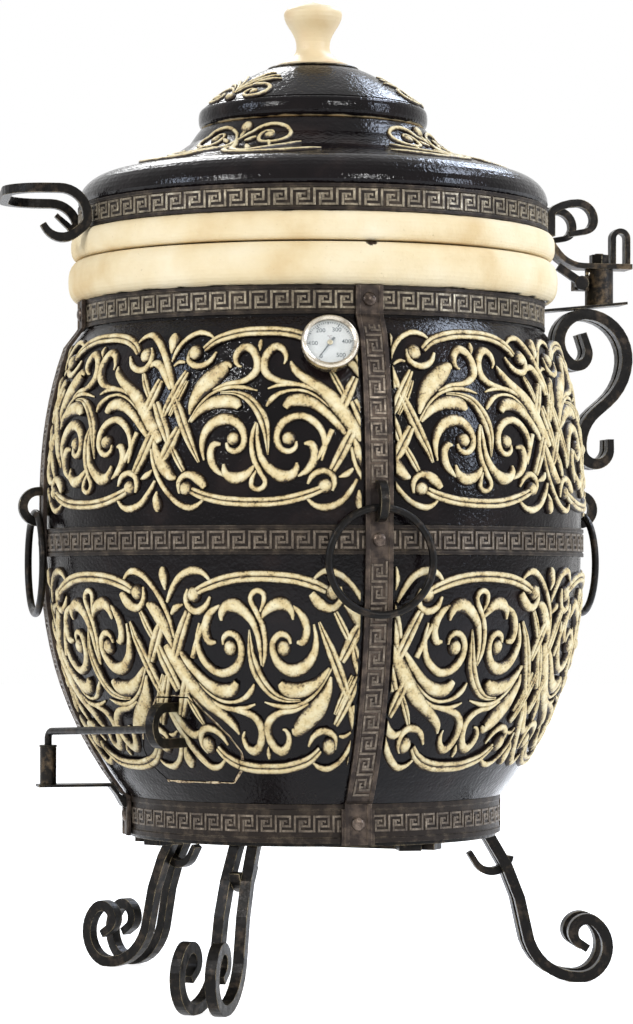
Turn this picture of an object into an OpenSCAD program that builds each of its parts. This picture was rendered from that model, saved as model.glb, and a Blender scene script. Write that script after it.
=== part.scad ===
// Clay tandoor: a glazed barrel of clay with a swivelling domed lid, bound in pressed
// steel hoops and straps, standing on three forged double-bar scroll legs.
// Millimetres, +Z up, origin on the pot's axis at floor level. Azimuths are degrees
// round the axis from the front (-Y), positive towards +X.

/* [Pot] */
// Glazed radius at the widest height
belly_r = 297.5; // [270:0.5:350]
// Height of the widest point above the floor
belly_z = 512; // [480:1:560]
// Drop of the radius from the belly to the shoulder
shoulder_drop = 26.8; // [15:0.2:40]
// Height of the shoulder, where the belly turns in to the neck
shoulder_z = 704; // [660:1:780]
// Drop of the radius from the belly to the bottom hoop
foot_drop = 89; // [60:1:110]
// Height where the belly meets the bottom hoop
foot_z = 213; // [190:1:240]
// Height of the pot's underside
base_z = 173; // [140:1:200]
// Thickness of the clay wall
wall = 50; // [35:1:60]
// Thickness of the clay floor
floor_t = 40; // [25:1:60]
// How far the rim roll stands out beyond the top hoop
rim_out = 14; // [8:0.5:25]
// Height of the rim roll
rim_h = 46; // [35:1:60]
// Width of the clay round the mouth
rim_w = 66; // [50:1:80]

/* [Hoops and straps] */
// Width of the top, middle and lid hoops
hoop_h = 30; // [20:1:45]
// Width of the bottom hoop
bottom_hoop_h = 41; // [30:1:50]
// Thickness of the hoops
hoop_t = 3; // [2:0.25:5]
// Height of the middle hoop's centre
middle_hoop_z = 490; // [440:1:540]
// Azimuth of the front strap, the other three follow at quarter turns
strap_az = 13; // [0:1:30]
// Width of the straps
strap_w = 29; // [20:1:40]
// Thickness of the straps
strap_t = 4.5; // [3:0.25:6]
// Width of a strap's foot plate
strap_foot_w = 35; // [30:1:45]
// Radius of a rivet head
rivet_head_r = 7.5; // [5:0.25:9]

/* [Ring handles] */
// Radius of a ring's centre line
ring_r = 55; // [40:1:70]
// Thickness of the round bar of a ring
ring_bar = 8; // [6:0.5:10]
// Height of the middle of a staple's eye
eye_z = 529.5; // [520:0.5:560]
// Inner height of a staple's eye
eye_h = 24; // [20:1:36]
// Thickness of a staple's bar
staple_bar = 9.5; // [7:0.5:12]

/* [Stand] */
// Azimuths of the three legs: rear left, front and right
leg_az = [-131, -21.5, 98];
// Thickness of the square leg bars
leg_bar = 12; // [8:0.5:16]
// Radius from the axis to the middle of a foot
foot_contact_r = 299; // [280:1:340]
// Distance between the two bars of a leg where they start
leg_pair = 20; // [13:0.5:24]
// Angle by which each bar of a pair splays
leg_splay = 4; // [0:0.5:8]
// Thickness of the ring under the pot
stand_ring_t = 5; // [4:0.5:10]
// Thickness of the cross bars under the ring
cross_bar_t = 7.5; // [6:0.5:14]
// Distance of the cross bars from the axis
cross_bar_d = 80; // [60:1:110]

/* [Lid] */
// Height of the lid's bare clay ring
lid_ring_h = 30; // [20:1:40]
// Height of the dome's rounded shoulder
lid_shoulder_h = 37; // [26:1:44]
// Height from the shoulder's top to the small lid's seat
lid_dome_h = 52; // [40:1:90]
// Radius of the small lid's seat
seat_r = 124; // [110:1:150]
// Radius of the vent hole
vent_r = 95; // [80:1:105]
// Wall of the lid
lid_wall = 26; // [18:1:34]
// Height of the small lid's dome above its bead
small_dome_h = 44; // [30:1:60]
// Overall height of the knob
knob_h = 73.5; // [55:0.5:95]
// Radius of the knob's head
knob_r = 32.4; // [25:0.2:40]

// Azimuth of the middle of the lid's side handle
handle_az = -82; // [-95:0.5:-60]

/* [Lid hinge] */
// Distance of the hinge pin from the pot's axis
post_r = 333; // [325:1:360]
// Radius of the hinge pin
pin_r = 8; // [7:0.5:10]
// Outer radius of the hinge barrel
barrel_r = 16; // [13:0.5:20]
// Thickness of the lid arm's flat bar
arm_t = 6; // [5:0.5:9]
// Width of the lid arm's flat bar
arm_w = 30; // [24:1:40]
// Upward slope of the shelf plate
shelf_tilt = 6; // [0:0.5:10]
// Thickness of the bracket's square bars
bracket_bar = 12; // [8:0.5:14]

/* [Thermometer] */
// Azimuth of the thermometer
thermo_az = 3.4; // [-10:0.2:3.6]
// Height at which its stem enters the wall
thermo_z = 685; // [640:1:690]
// Upward tilt of its axis, square to the wall
thermo_tilt = 21; // [15:0.5:30]
// Radius of the bezel
bezel_r = 30; // [25:0.5:35]
// Radius of the stem
stem_r = 5; // [3:0.25:6]
// Length of the stem behind the case
stem_l = 116; // [90:1:140]

/* [Ash door] */
// Azimuth of the middle of the door
door_az = -32.4; // [-36:0.2:-28]
// Height of the door's bottom edge
door_z = 235.5; // [230:0.5:245]
// Height of the door
door_h = 93; // [70:1:100]
// Half width of the door at its widest
door_half_w = 62; // [50:1:66]
// Thickness of the door
door_t = 28; // [18:1:36]
// Gap round the door
door_gap = 1.6; // [1:0.1:3]
// Distance of the door's hinge pin from the pot's axis
door_post_r = 297; // [292:1:310]
// Radius of the door's hinge rod
door_rod_r = 4; // [3:0.5:5]
// Height of the door's rod
door_rod_z = 284.5; // [280:0.5:290]

/* [Grate] */
// Radius of the fire grate
grate_r = 200; // [170:1:203]
// Thickness of the fire grate
grate_t = 10; // [6:1:14]
// Height of the ledge that carries the grate
ledge_z = 342; // [338:1:380]

/* [Hidden] */
$fn = 96;

// Fits and gaps
seat_gap = 0.3;       // between a piece and the seat that carries it
weld_gap = 0.1;       // between two pieces that are welded together
run_fit = 0.06;       // radial clearance of a pin that turns in its bore
eps = 0.01;

// Radii and heights that several pieces share
neck_z = base_z + 549;
neck_r = belly_r - shoulder_drop - 16.5;
top_hoop_r = neck_r + seat_gap + hoop_t;
top_hoop_z = neck_z + 3;
foot_seat_r = belly_r - foot_drop - 4;
bottom_hoop_r = foot_seat_r + seat_gap + hoop_t;
bottom_hoop_z = foot_z - bottom_hoop_h;
groove_r = belly_r - 0.8;
middle_hoop_r = groove_r + seat_gap + hoop_t;
rim_r = top_hoop_r + rim_out;
rim_bottom_z = top_hoop_z + hoop_h + seat_gap;
rim_z = rim_bottom_z + rim_h;
mouth_r = rim_r - rim_w;
strap_az_list = [strap_az, strap_az + 90, strap_az + 180, strap_az - 90];
hinge_az = strap_az + 90;
door_post_az = strap_az - 90;

// Radius of the glazed wall at a height: the belly, then the chamfer up to the neck
function belly(z) =
    z > neck_z ? neck_r :
    z > shoulder_z ? belly_r - shoulder_drop
        - (z - shoulder_z) / (neck_z - shoulder_z) * (belly_r - shoulder_drop - top_hoop_r + 0.5) :
    z > belly_z ? belly_r - shoulder_drop * pow((z - belly_z) / (shoulder_z - belly_z), 2.6) :
    belly_r - foot_drop * pow((belly_z - z) / (belly_z - foot_z), 2.6);

// Heights at even steps between two heights
function levels(z1, z2, n) = [for (i = [0:n]) z1 + (z2 - z1) * i / n];

// Half of a superellipse that bulges from r_in to r_out between two heights
function roll(r_in, r_out, z1, z2, n = 14, power = 2.5) = [for (i = [0:n])
    let (t = -90 + 180 * i / n, c = cos(t), s = sin(t))
    [r_in + (r_out - r_in) * pow(max(c, 0), 2 / power),
        (z1 + z2) / 2 + (z2 - z1) / 2 * sign(s) * pow(abs(s), 2 / power)]];

// Points of an arc round a centre
function arc(c, rx, ry, a1, a2, n = 10) = [for (i = [0:n])
    let (a = a1 + (a2 - a1) * i / n) [c[0] + rx * cos(a), c[1] + ry * sin(a)]];

// Turns the local +X axis to an azimuth
module at(az) {
    rotate([0, 0, az - 90])
        children();
}

// Raises an (r, z) outline into the vertical plane of local +X, centred on it
module upright(w) {
    rotate([90, 0, 0])
        linear_extrude(w, center = true)
            children();
}

// Forged bars. A path is a list of [x, y, heading]; a step is [length, 0] for a straight
// run or [radius, turn] for a bend, positive turns to the left.
function walk(path, steps, k = 0) = k == len(steps) ? path :
    walk(concat(path, bend(path[len(path) - 1], steps[k][0], steps[k][1])), steps, k + 1);
function bend(p, size, turn) = turn == 0 ?
    [[p[0] + size * cos(p[2]), p[1] + size * sin(p[2]), p[2]]] :
    let (n = max(2, ceil(abs(turn) / 11)), side = sign(turn),
        cx = p[0] - side * size * sin(p[2]), cy = p[1] + side * size * cos(p[2]))
    [for (i = [1:n]) let (h = p[2] + turn * i / n)
        [cx + side * size * sin(h), cy - side * size * cos(h), h]];
function back_to_front(path) = [for (i = [len(path) - 1:-1:0])
    [path[i][0], path[i][1], path[i][2] + 180]];
// A path that passes through an anchor: before is walked backwards from it, after forwards
function through(anchor, heading, before, after) = concat(
    back_to_front(walk([[anchor[0], anchor[1], heading + 180]], before)),
    [for (i = [1:1:len(walk([[0, 0, 0]], after)) - 1])
        walk([[anchor[0], anchor[1], heading]], after)[i]]);

// Outline of a bar along a path, drawn out to thinner tips over the last few bends
module bar(path, t, tip1 = 1, tip2 = 1, taper = 6) {
    last = len(path) - 1;
    half = [for (i = [0:last]) t / 2
        * min(i < taper ? tip1 + (1 - tip1) * i / taper : 1,
            last - i < taper ? tip2 + (1 - tip2) * (last - i) / taper : 1)];
    left = [for (i = [0:last]) [path[i][0] - half[i] * sin(path[i][2]),
        path[i][1] + half[i] * cos(path[i][2])]];
    right = [for (i = [last:-1:0]) [path[i][0] + half[i] * sin(path[i][2]),
        path[i][1] - half[i] * cos(path[i][2])]];
    polygon(concat(left, right));
}

module hexagon(flats, h) {
    cylinder(r = flats / 2 / cos(30), h = h, $fn = 6);
}

// ---- Clay pot -------------------------------------------------------------------

// Outline of the ash door in the plane across its azimuth, at one depth of its taper
module door_outline(spread, rise, shrink) {
    z1 = door_z;
    z2 = door_z + door_h + rise;
    wide = door_half_w + spread;
    narrow = 16 + spread / 3;
    offset(r = 5, $fn = 16)
        offset(delta = -5 - shrink)
            polygon([[-wide + 15, z1], [wide - 15, z1], [wide, z1 + 18], [wide, z1 + 35],
                [narrow, z2], [-narrow, z2], [-wide, z1 + 35], [-wide, z1 + 18]]);
}

// Tapered plug through the wall at the door, smaller inside; shrink leaves the gap
module door_plug(shrink = 0) {
    outer_x = belly_r - 12;
    inner_x = 178;
    ref_x = 236;
    draft = tan(18);
    at(door_az)
        hull() {
            translate([outer_x, 0, 0])
                rotate([90, 0, 90])
                    linear_extrude(eps)
                        door_outline((outer_x - ref_x) * draft, (outer_x - 272) * 0.1, shrink);
            translate([inner_x, 0, 0])
                rotate([90, 0, 90])
                    linear_extrude(eps)
                        door_outline((inner_x - ref_x) * draft, (inner_x - 272) * 0.1, shrink);
        }
}

// Axis of the thermometer, +Z outwards from the point where the stem meets the wall
module thermo_axis() {
    at(thermo_az)
        translate([belly(thermo_z), 0, thermo_z])
            rotate([0, 90 - thermo_tilt, 0])
                children();
}

module clay_pot() {
    groove_z1 = middle_hoop_z - hoop_h / 2 - 1;
    groove_z2 = middle_hoop_z + hoop_h / 2 + 1;
    flat_r = rim_r - 22;
    cavity_top = shoulder_z - 10;
    outside = concat(
        [[0, base_z], [foot_seat_r, base_z], [foot_seat_r, foot_z]],
        [for (z = levels(foot_z + 0.5, groove_z1, 16)) [belly(z), z]],
        [[groove_r, groove_z1], [groove_r, groove_z2]],
        [for (z = levels(groove_z2, shoulder_z, 12)) [belly(z), z]],
        [[belly(neck_z), neck_z], [neck_r, neck_z + 0.5]],
        [for (p = roll(neck_r, rim_r, rim_bottom_z, rim_z)) if (p[0] < flat_r || p[1] < rim_z - 1) p]);
    inside = concat(
        [[flat_r - 8, rim_z]],
        arc([mouth_r + 14, rim_z - 14], 14, 14, 90, 180, 6),
        [[mouth_r, neck_z + 20]],
        [for (z = levels(cavity_top, ledge_z, 12)) [belly(z) - wall, z]],
        [[grate_r - 12, ledge_z], [grate_r - 12, ledge_z - 10]],
        [for (z = levels(ledge_z - 22, base_z + floor_t + 14, 5)) [belly(z) - wall, z]],
        [[belly(base_z + floor_t) - wall - 14, base_z + floor_t], [0, base_z + floor_t]]);
    color("#2a2421")
        difference() {
            rotate_extrude()
                polygon(concat(outside, inside));
            door_plug();
            thermo_axis()
                translate([0, 0, -wall - 30])
                    cylinder(r = stem_r + seat_gap, h = wall + 60);
        }
}

// ---- Hoops and straps -------------------------------------------------------------

// Pressed hoop: a thin band with a raised bead along each edge
module hoop(r_out, z, h, bead = 3.5) {
    r_in = r_out - hoop_t;
    low = r_out - 1.2;
    color("#3a3129")
        difference() {
            rotate_extrude()
                polygon([[r_in, z], [r_out, z], [r_out, z + bead], [low, z + bead + 1],
                    [low, z + h - bead - 1], [r_out, z + h - bead], [r_out, z + h], [r_in, z + h]]);
            for (az = strap_az_list)
                rivet_place(az, r_out, z + h / 2)
                    rivet_hole();
        }
}

rivet_shank_r = 3;
recess = 1;

module rivet_place(az, r, z) {
    at(az)
        translate([r, 0, z])
            rotate([0, 90, 0])
                children();
}

module rivet_hole() {
    translate([0, 0, -hoop_t - 2])
        cylinder(r = rivet_shank_r + run_fit, h = hoop_t + 4, $fn = 32);
}

module hoop_top() {
    hoop(top_hoop_r, top_hoop_z, hoop_h);
}

module hoop_middle() {
    hoop(middle_hoop_r, middle_hoop_z - hoop_h / 2, hoop_h);
}

module hoop_bottom() {
    hoop(bottom_hoop_r, bottom_hoop_z, bottom_hoop_h, 5);
}

// Inner face of a strap, which follows the barrel and passes over the three hoops
function strap_in(z) =
    z > neck_z ? top_hoop_r + seat_gap :
    z < foot_z ? bottom_hoop_r + seat_gap :
    abs(z - middle_hoop_z) < hoop_h / 2 + 5 ? middle_hoop_r + seat_gap :
    belly(z) + middle_hoop_r - belly_r + seat_gap;
function strap_out(z) = strap_in(z) + strap_t;

strap_levels = concat([bottom_hoop_z - 2, foot_z - 0.01],
    levels(foot_z + 4, middle_hoop_z - hoop_h / 2 - 6, 11),
    [middle_hoop_z - hoop_h / 2 - 4, middle_hoop_z + hoop_h / 2 + 4],
    levels(middle_hoop_z + hoop_h / 2 + 6, shoulder_z, 10),
    [neck_z, neck_z + 3, top_hoop_z + hoop_h]);
rivet_levels = [bottom_hoop_z + bottom_hoop_h / 2, middle_hoop_z, top_hoop_z + hoop_h / 2];

module strap(az) {
    foot_top_z = foot_z - 3;
    color("#54473b")
        difference() {
            at(az) {
                difference() {
                    upright(strap_w)
                        polygon(concat([for (z = strap_levels) [strap_out(z), z]],
                            [for (i = [len(strap_levels) - 1:-1:0])
                                [strap_in(strap_levels[i]), strap_levels[i]]]));
                    upright(strap_w - 9)
                        polygon(concat([for (z = strap_levels) [strap_out(z) + 2, z]],
                            [for (i = [len(strap_levels) - 1:-1:0])
                                [strap_out(strap_levels[i]) - recess, strap_levels[i]]]));
                }
                translate([strap_in(base_z), -strap_foot_w / 2, bottom_hoop_z - 2])
                    cube([strap_t - recess, strap_foot_w, foot_top_z - bottom_hoop_z]);
            }
            for (z = rivet_levels)
                rivet_place(az, strap_out(z), z)
                    translate([0, 0, -strap_t - 1])
                        cylinder(r = rivet_shank_r + run_fit, h = strap_t + 3, $fn = 32);
        }
}

module strap_front() {
    strap(strap_az_list[0]);
}

module strap_right() {
    strap(strap_az_list[1]);
}

module strap_back() {
    strap(strap_az_list[2]);
}

module strap_left() {
    strap(strap_az_list[3]);
}

// Domed rivets through each strap and the hoop beneath it, their tails flush inside
module strap_rivets() {
    head_h = 4;
    color("#6b5138")
        for (az = strap_az_list, z = rivet_levels)
            rivet_place(az, strap_out(z) - recess + weld_gap, z) {
                rotate_extrude($fn = 48)
                    polygon(concat([[0, 0]], arc([0, 0], rivet_head_r, head_h, 0, 90, 8)));
                translate([0, 0, -strap_t - hoop_t + recess])
                    cylinder(r = rivet_shank_r, h = strap_t + hoop_t - recess + eps, $fn = 32);
            }
}

// ---- Ring handles -----------------------------------------------------------------

staple_bend = (eye_h + staple_bar) / 2;
staple_foot_r = strap_out(eye_z) - recess + weld_gap;
staple_c_r = staple_foot_r + 4.2;
ring_hang_r = staple_c_r + 3;
ring_hang_z = eye_z - (eye_h / 2 - ring_bar / 2 - 1.2);

// U-shaped staple, forged from square bar, with both feet on the strap
module staple(az) {
    path = walk([[staple_foot_r, eye_z - staple_bend, 0]],
        [[staple_c_r - staple_foot_r, 0], [staple_bend, 180], [staple_c_r - staple_foot_r, 0]]);
    color("#2e2c29")
        at(az)
            upright(9)
                bar(path, staple_bar);
}

// Round-bar ring that hangs through the staple's eye
module hanging_ring(az) {
    color("#2e2c29")
        at(az)
            translate([ring_hang_r, 0, ring_hang_z - ring_r])
                rotate([0, 90, 0])
                    rotate_extrude()
                        translate([ring_r, 0])
                            circle(d = ring_bar, $fn = 32);
}

module staple_front() {
    staple(strap_az_list[0]);
}

module staple_right() {
    staple(strap_az_list[1]);
}

module staple_back() {
    staple(strap_az_list[2]);
}

module staple_left() {
    staple(strap_az_list[3]);
}

module ring_front() {
    hanging_ring(strap_az_list[0]);
}

module ring_right() {
    hanging_ring(strap_az_list[1]);
}

module ring_back() {
    hanging_ring(strap_az_list[2]);
}

module ring_left() {
    hanging_ring(strap_az_list[3]);
}

// ---- Stand ------------------------------------------------------------------------

stand_ring_z = base_z - stand_ring_t;
cross_z = stand_ring_z - cross_bar_t;
stand_r = foot_seat_r - 1.5;

module stand_ring() {
    color("#2b2a28")
        translate([0, 0, stand_ring_z])
            difference() {
                cylinder(r = stand_r, h = stand_ring_t);
                translate([0, 0, -1])
                    cylinder(r = stand_r - 50, h = stand_ring_t + 2);
            }
}

// Three flat bars in a triangle, each square to a leg, welded under the ring
module stand_cross() {
    cross_w = 24;
    half = sqrt(pow(stand_r - 5, 2) - pow(cross_bar_d + cross_w / 2, 2));
    color("#262523")
        for (az = leg_az)
            at(az)
                translate([cross_bar_d - cross_w / 2, -half, cross_z])
                    cube([cross_w, 2 * half, cross_bar_t]);
}

// Leg of two square bars: a foot scroll outside, a long curve up to the stand ring, and a
// small curl inside; the foot is ground flat where it stands
module leg(az) {
    foot_flat = 0.5;
    sole_z = leg_bar / 2 - foot_flat;
    pivot_r = stand_r - 6;
    path = through([foot_contact_r, sole_z], 0,
        [[60, -82], [244, 27], [26, 0]],
        [[30, 48], [35.5, 94], [15.7, 111], [13.5, 74], [12.5, 0]]);
    curl = walk([[pivot_r + 25, 141, -100]], [[21, -138], [14, 0]]);
    color("#2e2c29")
        intersection() {
            at(az) {
                for (side = [-1, 1])
                    translate([pivot_r, side * leg_pair / 2, 0])
                        rotate([0, 0, side * leg_splay])
                            translate([-pivot_r, 0, 0])
                                upright(leg_bar)
                                    bar(path, leg_bar, 1, 0.75);
                upright(12)
                    bar(curl, 9, 1, 0.7);
            }
            cylinder(r = 500, h = stand_ring_z);
        }
}

module leg_rear_left() {
    leg(leg_az[0]);
}

module leg_front() {
    leg(leg_az[1]);
}

module leg_right() {
    leg(leg_az[2]);
}

// ---- Fire grate -------------------------------------------------------------------

module fire_grate() {
    slot = 13;
    pitch = 26;
    rows = floor((grate_r - 20) / pitch);
    color("#343332")
        translate([0, 0, ledge_z + seat_gap])
            difference() {
                cylinder(r = grate_r, h = grate_t);
                for (i = [-rows:rows])
                    let (reach = sqrt(pow(grate_r - 14, 2) - pow(abs(i) * pitch + slot / 2, 2)))
                        for (side = [-1, 1])
                            translate([i * pitch - slot / 2, side > 0 ? 8 : -reach, -1])
                                cube([slot, reach - 8, grate_t + 2]);
            }
}

// ---- Thermometer ------------------------------------------------------------------

hex_t = 5.5;
hex_gap = 0.9;
case_z = hex_gap + hex_t;
case_t = 16;
dial_z = case_z + 10;
needle_z = dial_z + 2;
glass_z = case_z + 14.5;
case_r = bezel_r - 2.5;

module thermometer_case() {
    color("#b9b2a2")
        thermo_axis()
            translate([0, 0, case_z])
                difference() {
                    cylinder(r = case_r, h = case_t);
                    translate([0, 0, 1.5])
                        cylinder(r = case_r - 1.5, h = case_t);
                    translate([0, 0, -1])
                        cylinder(r = stem_r - 1 + seat_gap, h = 4);
                }
}

module thermometer_bezel() {
    z1 = case_z + case_t - 4.5;
    color("#d8d2c4")
        thermo_axis()
            rotate_extrude()
                polygon(concat([[case_r + weld_gap, z1], [bezel_r, z1], [bezel_r, z1 + 4]],
                    arc([bezel_r - 3, z1 + 4], 3, 4, 20, 90, 5),
                    [[bezel_r - 5.5, z1 + 6.5], [bezel_r - 5.5, z1 + 4.5 + weld_gap],
                        [case_r + weld_gap, z1 + 4.5 + weld_gap]]));
}

module thermometer_dial() {
    color("#f4f2ec")
        thermo_axis()
            translate([0, 0, dial_z])
                difference() {
                    cylinder(r = case_r - 1.5 - weld_gap, h = 1);
                    translate([0, 0, -1])
                        cylinder(r = 0.9 + run_fit, h = 3, $fn = 24);
                }
}

module thermometer_glass() {
    color("#dfe8ea", 0.4)
        thermo_axis()
            translate([0, 0, glass_z])
                cylinder(r = case_r - 1.5 - weld_gap, h = 1.4);
}

// Pointer on its arbor; it rests at the cold end of the scale, towards the lower left
module thermometer_needle() {
    needle_l = 20;
    tail_l = 8;
    color("#1c1c1c")
        thermo_axis()
            rotate([0, 0, -36]) {
                translate([0, 0, needle_z])
                    linear_extrude(0.6)
                        polygon([[-tail_l, -1.3], [0, -1], [needle_l, -0.3], [needle_l, 0.3],
                            [0, 1], [-tail_l, 1.3]]);
                translate([0, 0, needle_z])
                    cylinder(r = 2.6, h = 1.2, $fn = 32);
                translate([0, 0, dial_z - 3])
                    cylinder(r = 0.9, h = needle_z - dial_z + 3 + eps, $fn = 24);
            }
}

module thermometer_stem() {
    color("#a9a598")
        thermo_axis() {
            translate([0, 0, -stem_l])
                cylinder(r = stem_r, h = stem_l + hex_gap + eps);
            translate([0, 0, hex_gap])
                hexagon(17, hex_t - weld_gap);
            translate([0, 0, hex_gap + hex_t - weld_gap - eps])
                cylinder(r = stem_r - 1, h = 2.6);
        }
}

// Nut and washer on the stem inside the oven
module thermometer_nut() {
    color("#a9a598")
        thermo_axis()
            translate([0, 0, -wall - 9.5])
                difference() {
                    union() {
                        hexagon(17, 6);
                        translate([0, 0, 5.9])
                            cylinder(r = 13, h = 1.6);
                    }
                    translate([0, 0, -1])
                        cylinder(r = stem_r + run_fit, h = 10);
                }
}

// ---- Ash door ---------------------------------------------------------------------

rod_rise = 10;        // how much higher the rod is at the loop than at its post
loop_bar = 10;
loop_top_z = door_rod_z + 31.5;
loop_bottom_z = door_rod_z - 6;
loop_bend = (loop_top_z - loop_bottom_z) / 2;
loop_mid_z = (loop_top_z + loop_bottom_z) / 2;
loop_c_r = belly_r - 5;
loop_reach = loop_c_r + sqrt(pow(loop_bend, 2) - pow(loop_mid_z - door_rod_z - rod_rise, 2));
shank_r = 4;

// Clay plug cut from the wall, its face flush with the glaze
module ash_door() {
    zs = levels(door_z - 12, door_z + door_h + 14, 9);
    color("#2a2421")
        difference() {
            intersection() {
                rotate_extrude()
                    polygon(concat([for (z = zs) [belly(z), z]],
                        [for (i = [len(zs) - 1:-1:0]) [belly(zs[i]) - door_t, zs[i]]]));
                door_plug(door_gap);
            }
            for (z = [loop_top_z, loop_bottom_z])
                at(door_az)
                    translate([150, 0, z])
                        rotate([0, 90, 0])
                            cylinder(r = shank_r + seat_gap, h = 200, $fn = 32);
        }
}

// Forged loop whose two round shanks pass through the door
module door_loop() {
    face_top = belly(loop_top_z) + 3;
    face_bottom = belly(loop_bottom_z) + 3;
    path = walk([[face_top, loop_top_z, 0]],
        [[loop_c_r - face_top, 0], [loop_bend, -180], [loop_c_r - face_bottom, 0]]);
    color("#2e2c29")
        at(door_az) {
            upright(loop_bar)
                bar(path, loop_bar);
            for (f = [[face_top, loop_top_z], [face_bottom, loop_bottom_z]])
                translate([f[0] - 3 - door_t - 14, 0, f[1]])
                    rotate([0, 90, 0])
                        cylinder(r = shank_r, h = door_t + 17 + eps, $fn = 32);
        }
}

module door_nuts() {
    nut_t = 6;
    color("#4a4036")
        at(door_az)
            for (z = [loop_top_z, loop_bottom_z])
                translate([belly(z - 9) - door_t - nut_t - 2, 0, z])
                    rotate([0, 90, 0])
                        difference() {
                            hexagon(13, nut_t);
                            translate([0, 0, -1])
                                cylinder(r = shank_r + run_fit, h = nut_t + 2, $fn = 32);
                        }
}

// Plan positions of the door's hinge post and of the place where the rod meets the loop
post_xy = [door_post_r * sin(door_post_az), -door_post_r * cos(door_post_az)];
loop_xy = [loop_reach * sin(door_az), -loop_reach * cos(door_az)];
rod_run = norm(loop_xy - post_xy);
rod_dir = atan2(loop_xy[1] - post_xy[1], loop_xy[0] - post_xy[0]);
door_plate_z = foot_z + 13.5;
door_barrel_top = door_rod_z - 17.5;

// Rod that stands in the barrel, bends over and runs, rising a little, to the loop
module door_rod() {
    bend_r = 9;
    bottom = door_plate_z + seat_gap;
    slope = atan(rod_rise / rod_run);
    bend_z = door_rod_z - bend_r;
    color("#2b2b2b")
        difference() {
            translate([post_xy[0], post_xy[1], 0])
                rotate([0, 0, rod_dir]) {
                    translate([0, 0, bottom])
                        cylinder(r = door_rod_r, h = bend_z - bottom);
                    translate([bend_r, 0, bend_z])
                        rotate([90, 0, 0])
                            rotate_extrude(angle = 90 - slope, start = 90 + slope)
                                translate([bend_r, 0])
                                    circle(r = door_rod_r);
                    translate([bend_r * (1 - sin(slope)), 0, bend_z + bend_r * cos(slope)])
                        rotate([0, 90 - slope, 0])
                            translate([0, 0, -0.2])
                                cylinder(r = door_rod_r, h = (rod_run - bend_r) / cos(slope) + 0.2);
                }
            at(door_az)
                upright(loop_bar + 2 * weld_gap)
                    bar(walk([[loop_c_r, loop_top_z, 0]], [[loop_bend, -180]]),
                        loop_bar + 2 * weld_gap);
        }
}

module door_washer() {
    color("#3a3835")
        translate([post_xy[0], post_xy[1], door_barrel_top + seat_gap])
            difference() {
                cylinder(r = door_rod_r + 5.6, h = 2);
                translate([0, 0, -1])
                    cylinder(r = door_rod_r + run_fit, h = 4);
            }
}

module door_barrel() {
    color("#33302c")
        translate([post_xy[0], post_xy[1], door_plate_z])
            difference() {
                cylinder(r = door_rod_r + 5, h = door_barrel_top - door_plate_z);
                translate([0, 0, -1])
                    cylinder(r = door_rod_r + run_fit, h = door_barrel_top - door_plate_z + 2);
            }
}

// Cranked plate, welded to the left strap above its rivet, under the door's barrel
module door_plate() {
    t = 3;
    low_z = bottom_hoop_z + bottom_hoop_h / 2 + rivet_head_r + 1;
    r1 = strap_out(base_z) + weld_gap;
    r2 = door_post_r + 12;
    knee = strap_out(door_plate_z) + 1.5;
    step = strap_out(foot_z + 4) + 1.2;
    color("#2b2927")
        at(door_post_az)
            upright(26)
                polygon([[r1, low_z], [r1 + t, low_z], [step + t, foot_z + 1],
                    [knee + t, door_plate_z - t], [r2, door_plate_z - t], [r2, door_plate_z],
                    [knee, door_plate_z], [step, foot_z + 3], [r1, foot_z - 2]]);
}

// ---- Lid hinge --------------------------------------------------------------------

shelf_z = top_hoop_z + hoop_h - 0.6;
shelf_t = 3;
arm_z = rim_z + 0.5;
barrel_top = arm_z - seat_gap;
neck_r_pin = 5;
nut_af = 19.5;
arm_top = arm_z + arm_t;
screw_z = barrel_top - 16;
screw_r = 3;
lug_r = post_r - barrel_r - 7;

// Slab whose top is the shelf plate's top face, which slopes up away from the pot
module shelf_slab(x1, x2, w, t) {
    at(hinge_az)
        translate([strap_out(shelf_z), 0, shelf_z])
            rotate([0, -shelf_tilt, 0])
                translate([x1, -w / 2, -t])
                    cube([x2 - x1, w, t]);
}

module hinge_shelf() {
    color("#33302c")
        difference() {
            shelf_slab(-20, post_r - strap_out(shelf_z) + 29, 34, shelf_t);
            at(hinge_az)
                translate([0, -100, 0])
                    cube([strap_out(shelf_z) + weld_gap, 200, 1000]);
        }
}

module hinge_barrel() {
    color("#4a3f33")
        difference() {
            at(hinge_az) {
                translate([post_r, 0, shelf_z])
                    cylinder(r = barrel_r, h = barrel_top - shelf_z);
                translate([lug_r - 8, -7, screw_z - 8])
                    cube([18, 14, 16]);
            }
            at(hinge_az) {
                translate([post_r, 0, shelf_z - 1])
                    cylinder(r = pin_r + run_fit, h = barrel_top - shelf_z + 2);
                translate([lug_r - 9, -1, shelf_z - 1])
                    cube([post_r - lug_r, 2, barrel_top - shelf_z + 2]);
                translate([lug_r - 1, 10, screw_z])
                    rotate([90, 0, 0])
                        cylinder(r = screw_r + run_fit, h = 20, $fn = 32);
            }
            shelf_slab(-50, 200, 200, 60);
        }
}

// Pair of forged bars under the shelf: a big C with a small curl at each end, seated on
// the strap at its lower bend
module hinge_bracket() {
    seat_z = middle_hoop_z + 106.3;
    anchor = [strap_out(seat_z) + seat_gap + bracket_bar / 2, seat_z];
    path = through(anchor, -84,
        [[50, -56], [17, 0], [66, 46], [50, 91], [31, 146], [13.5, 98], [17, 48], [17, 0]],
        [[17.2, 174], [11, 0]]);
    color("#3a332c")
        at(hinge_az)
            for (side = [-1, 1])
                translate([0, side * (bracket_bar / 2 + 3), 0])
                    upright(bracket_bar)
                        bar(path, bracket_bar, 0.6, 0.6, 9);
}

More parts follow.
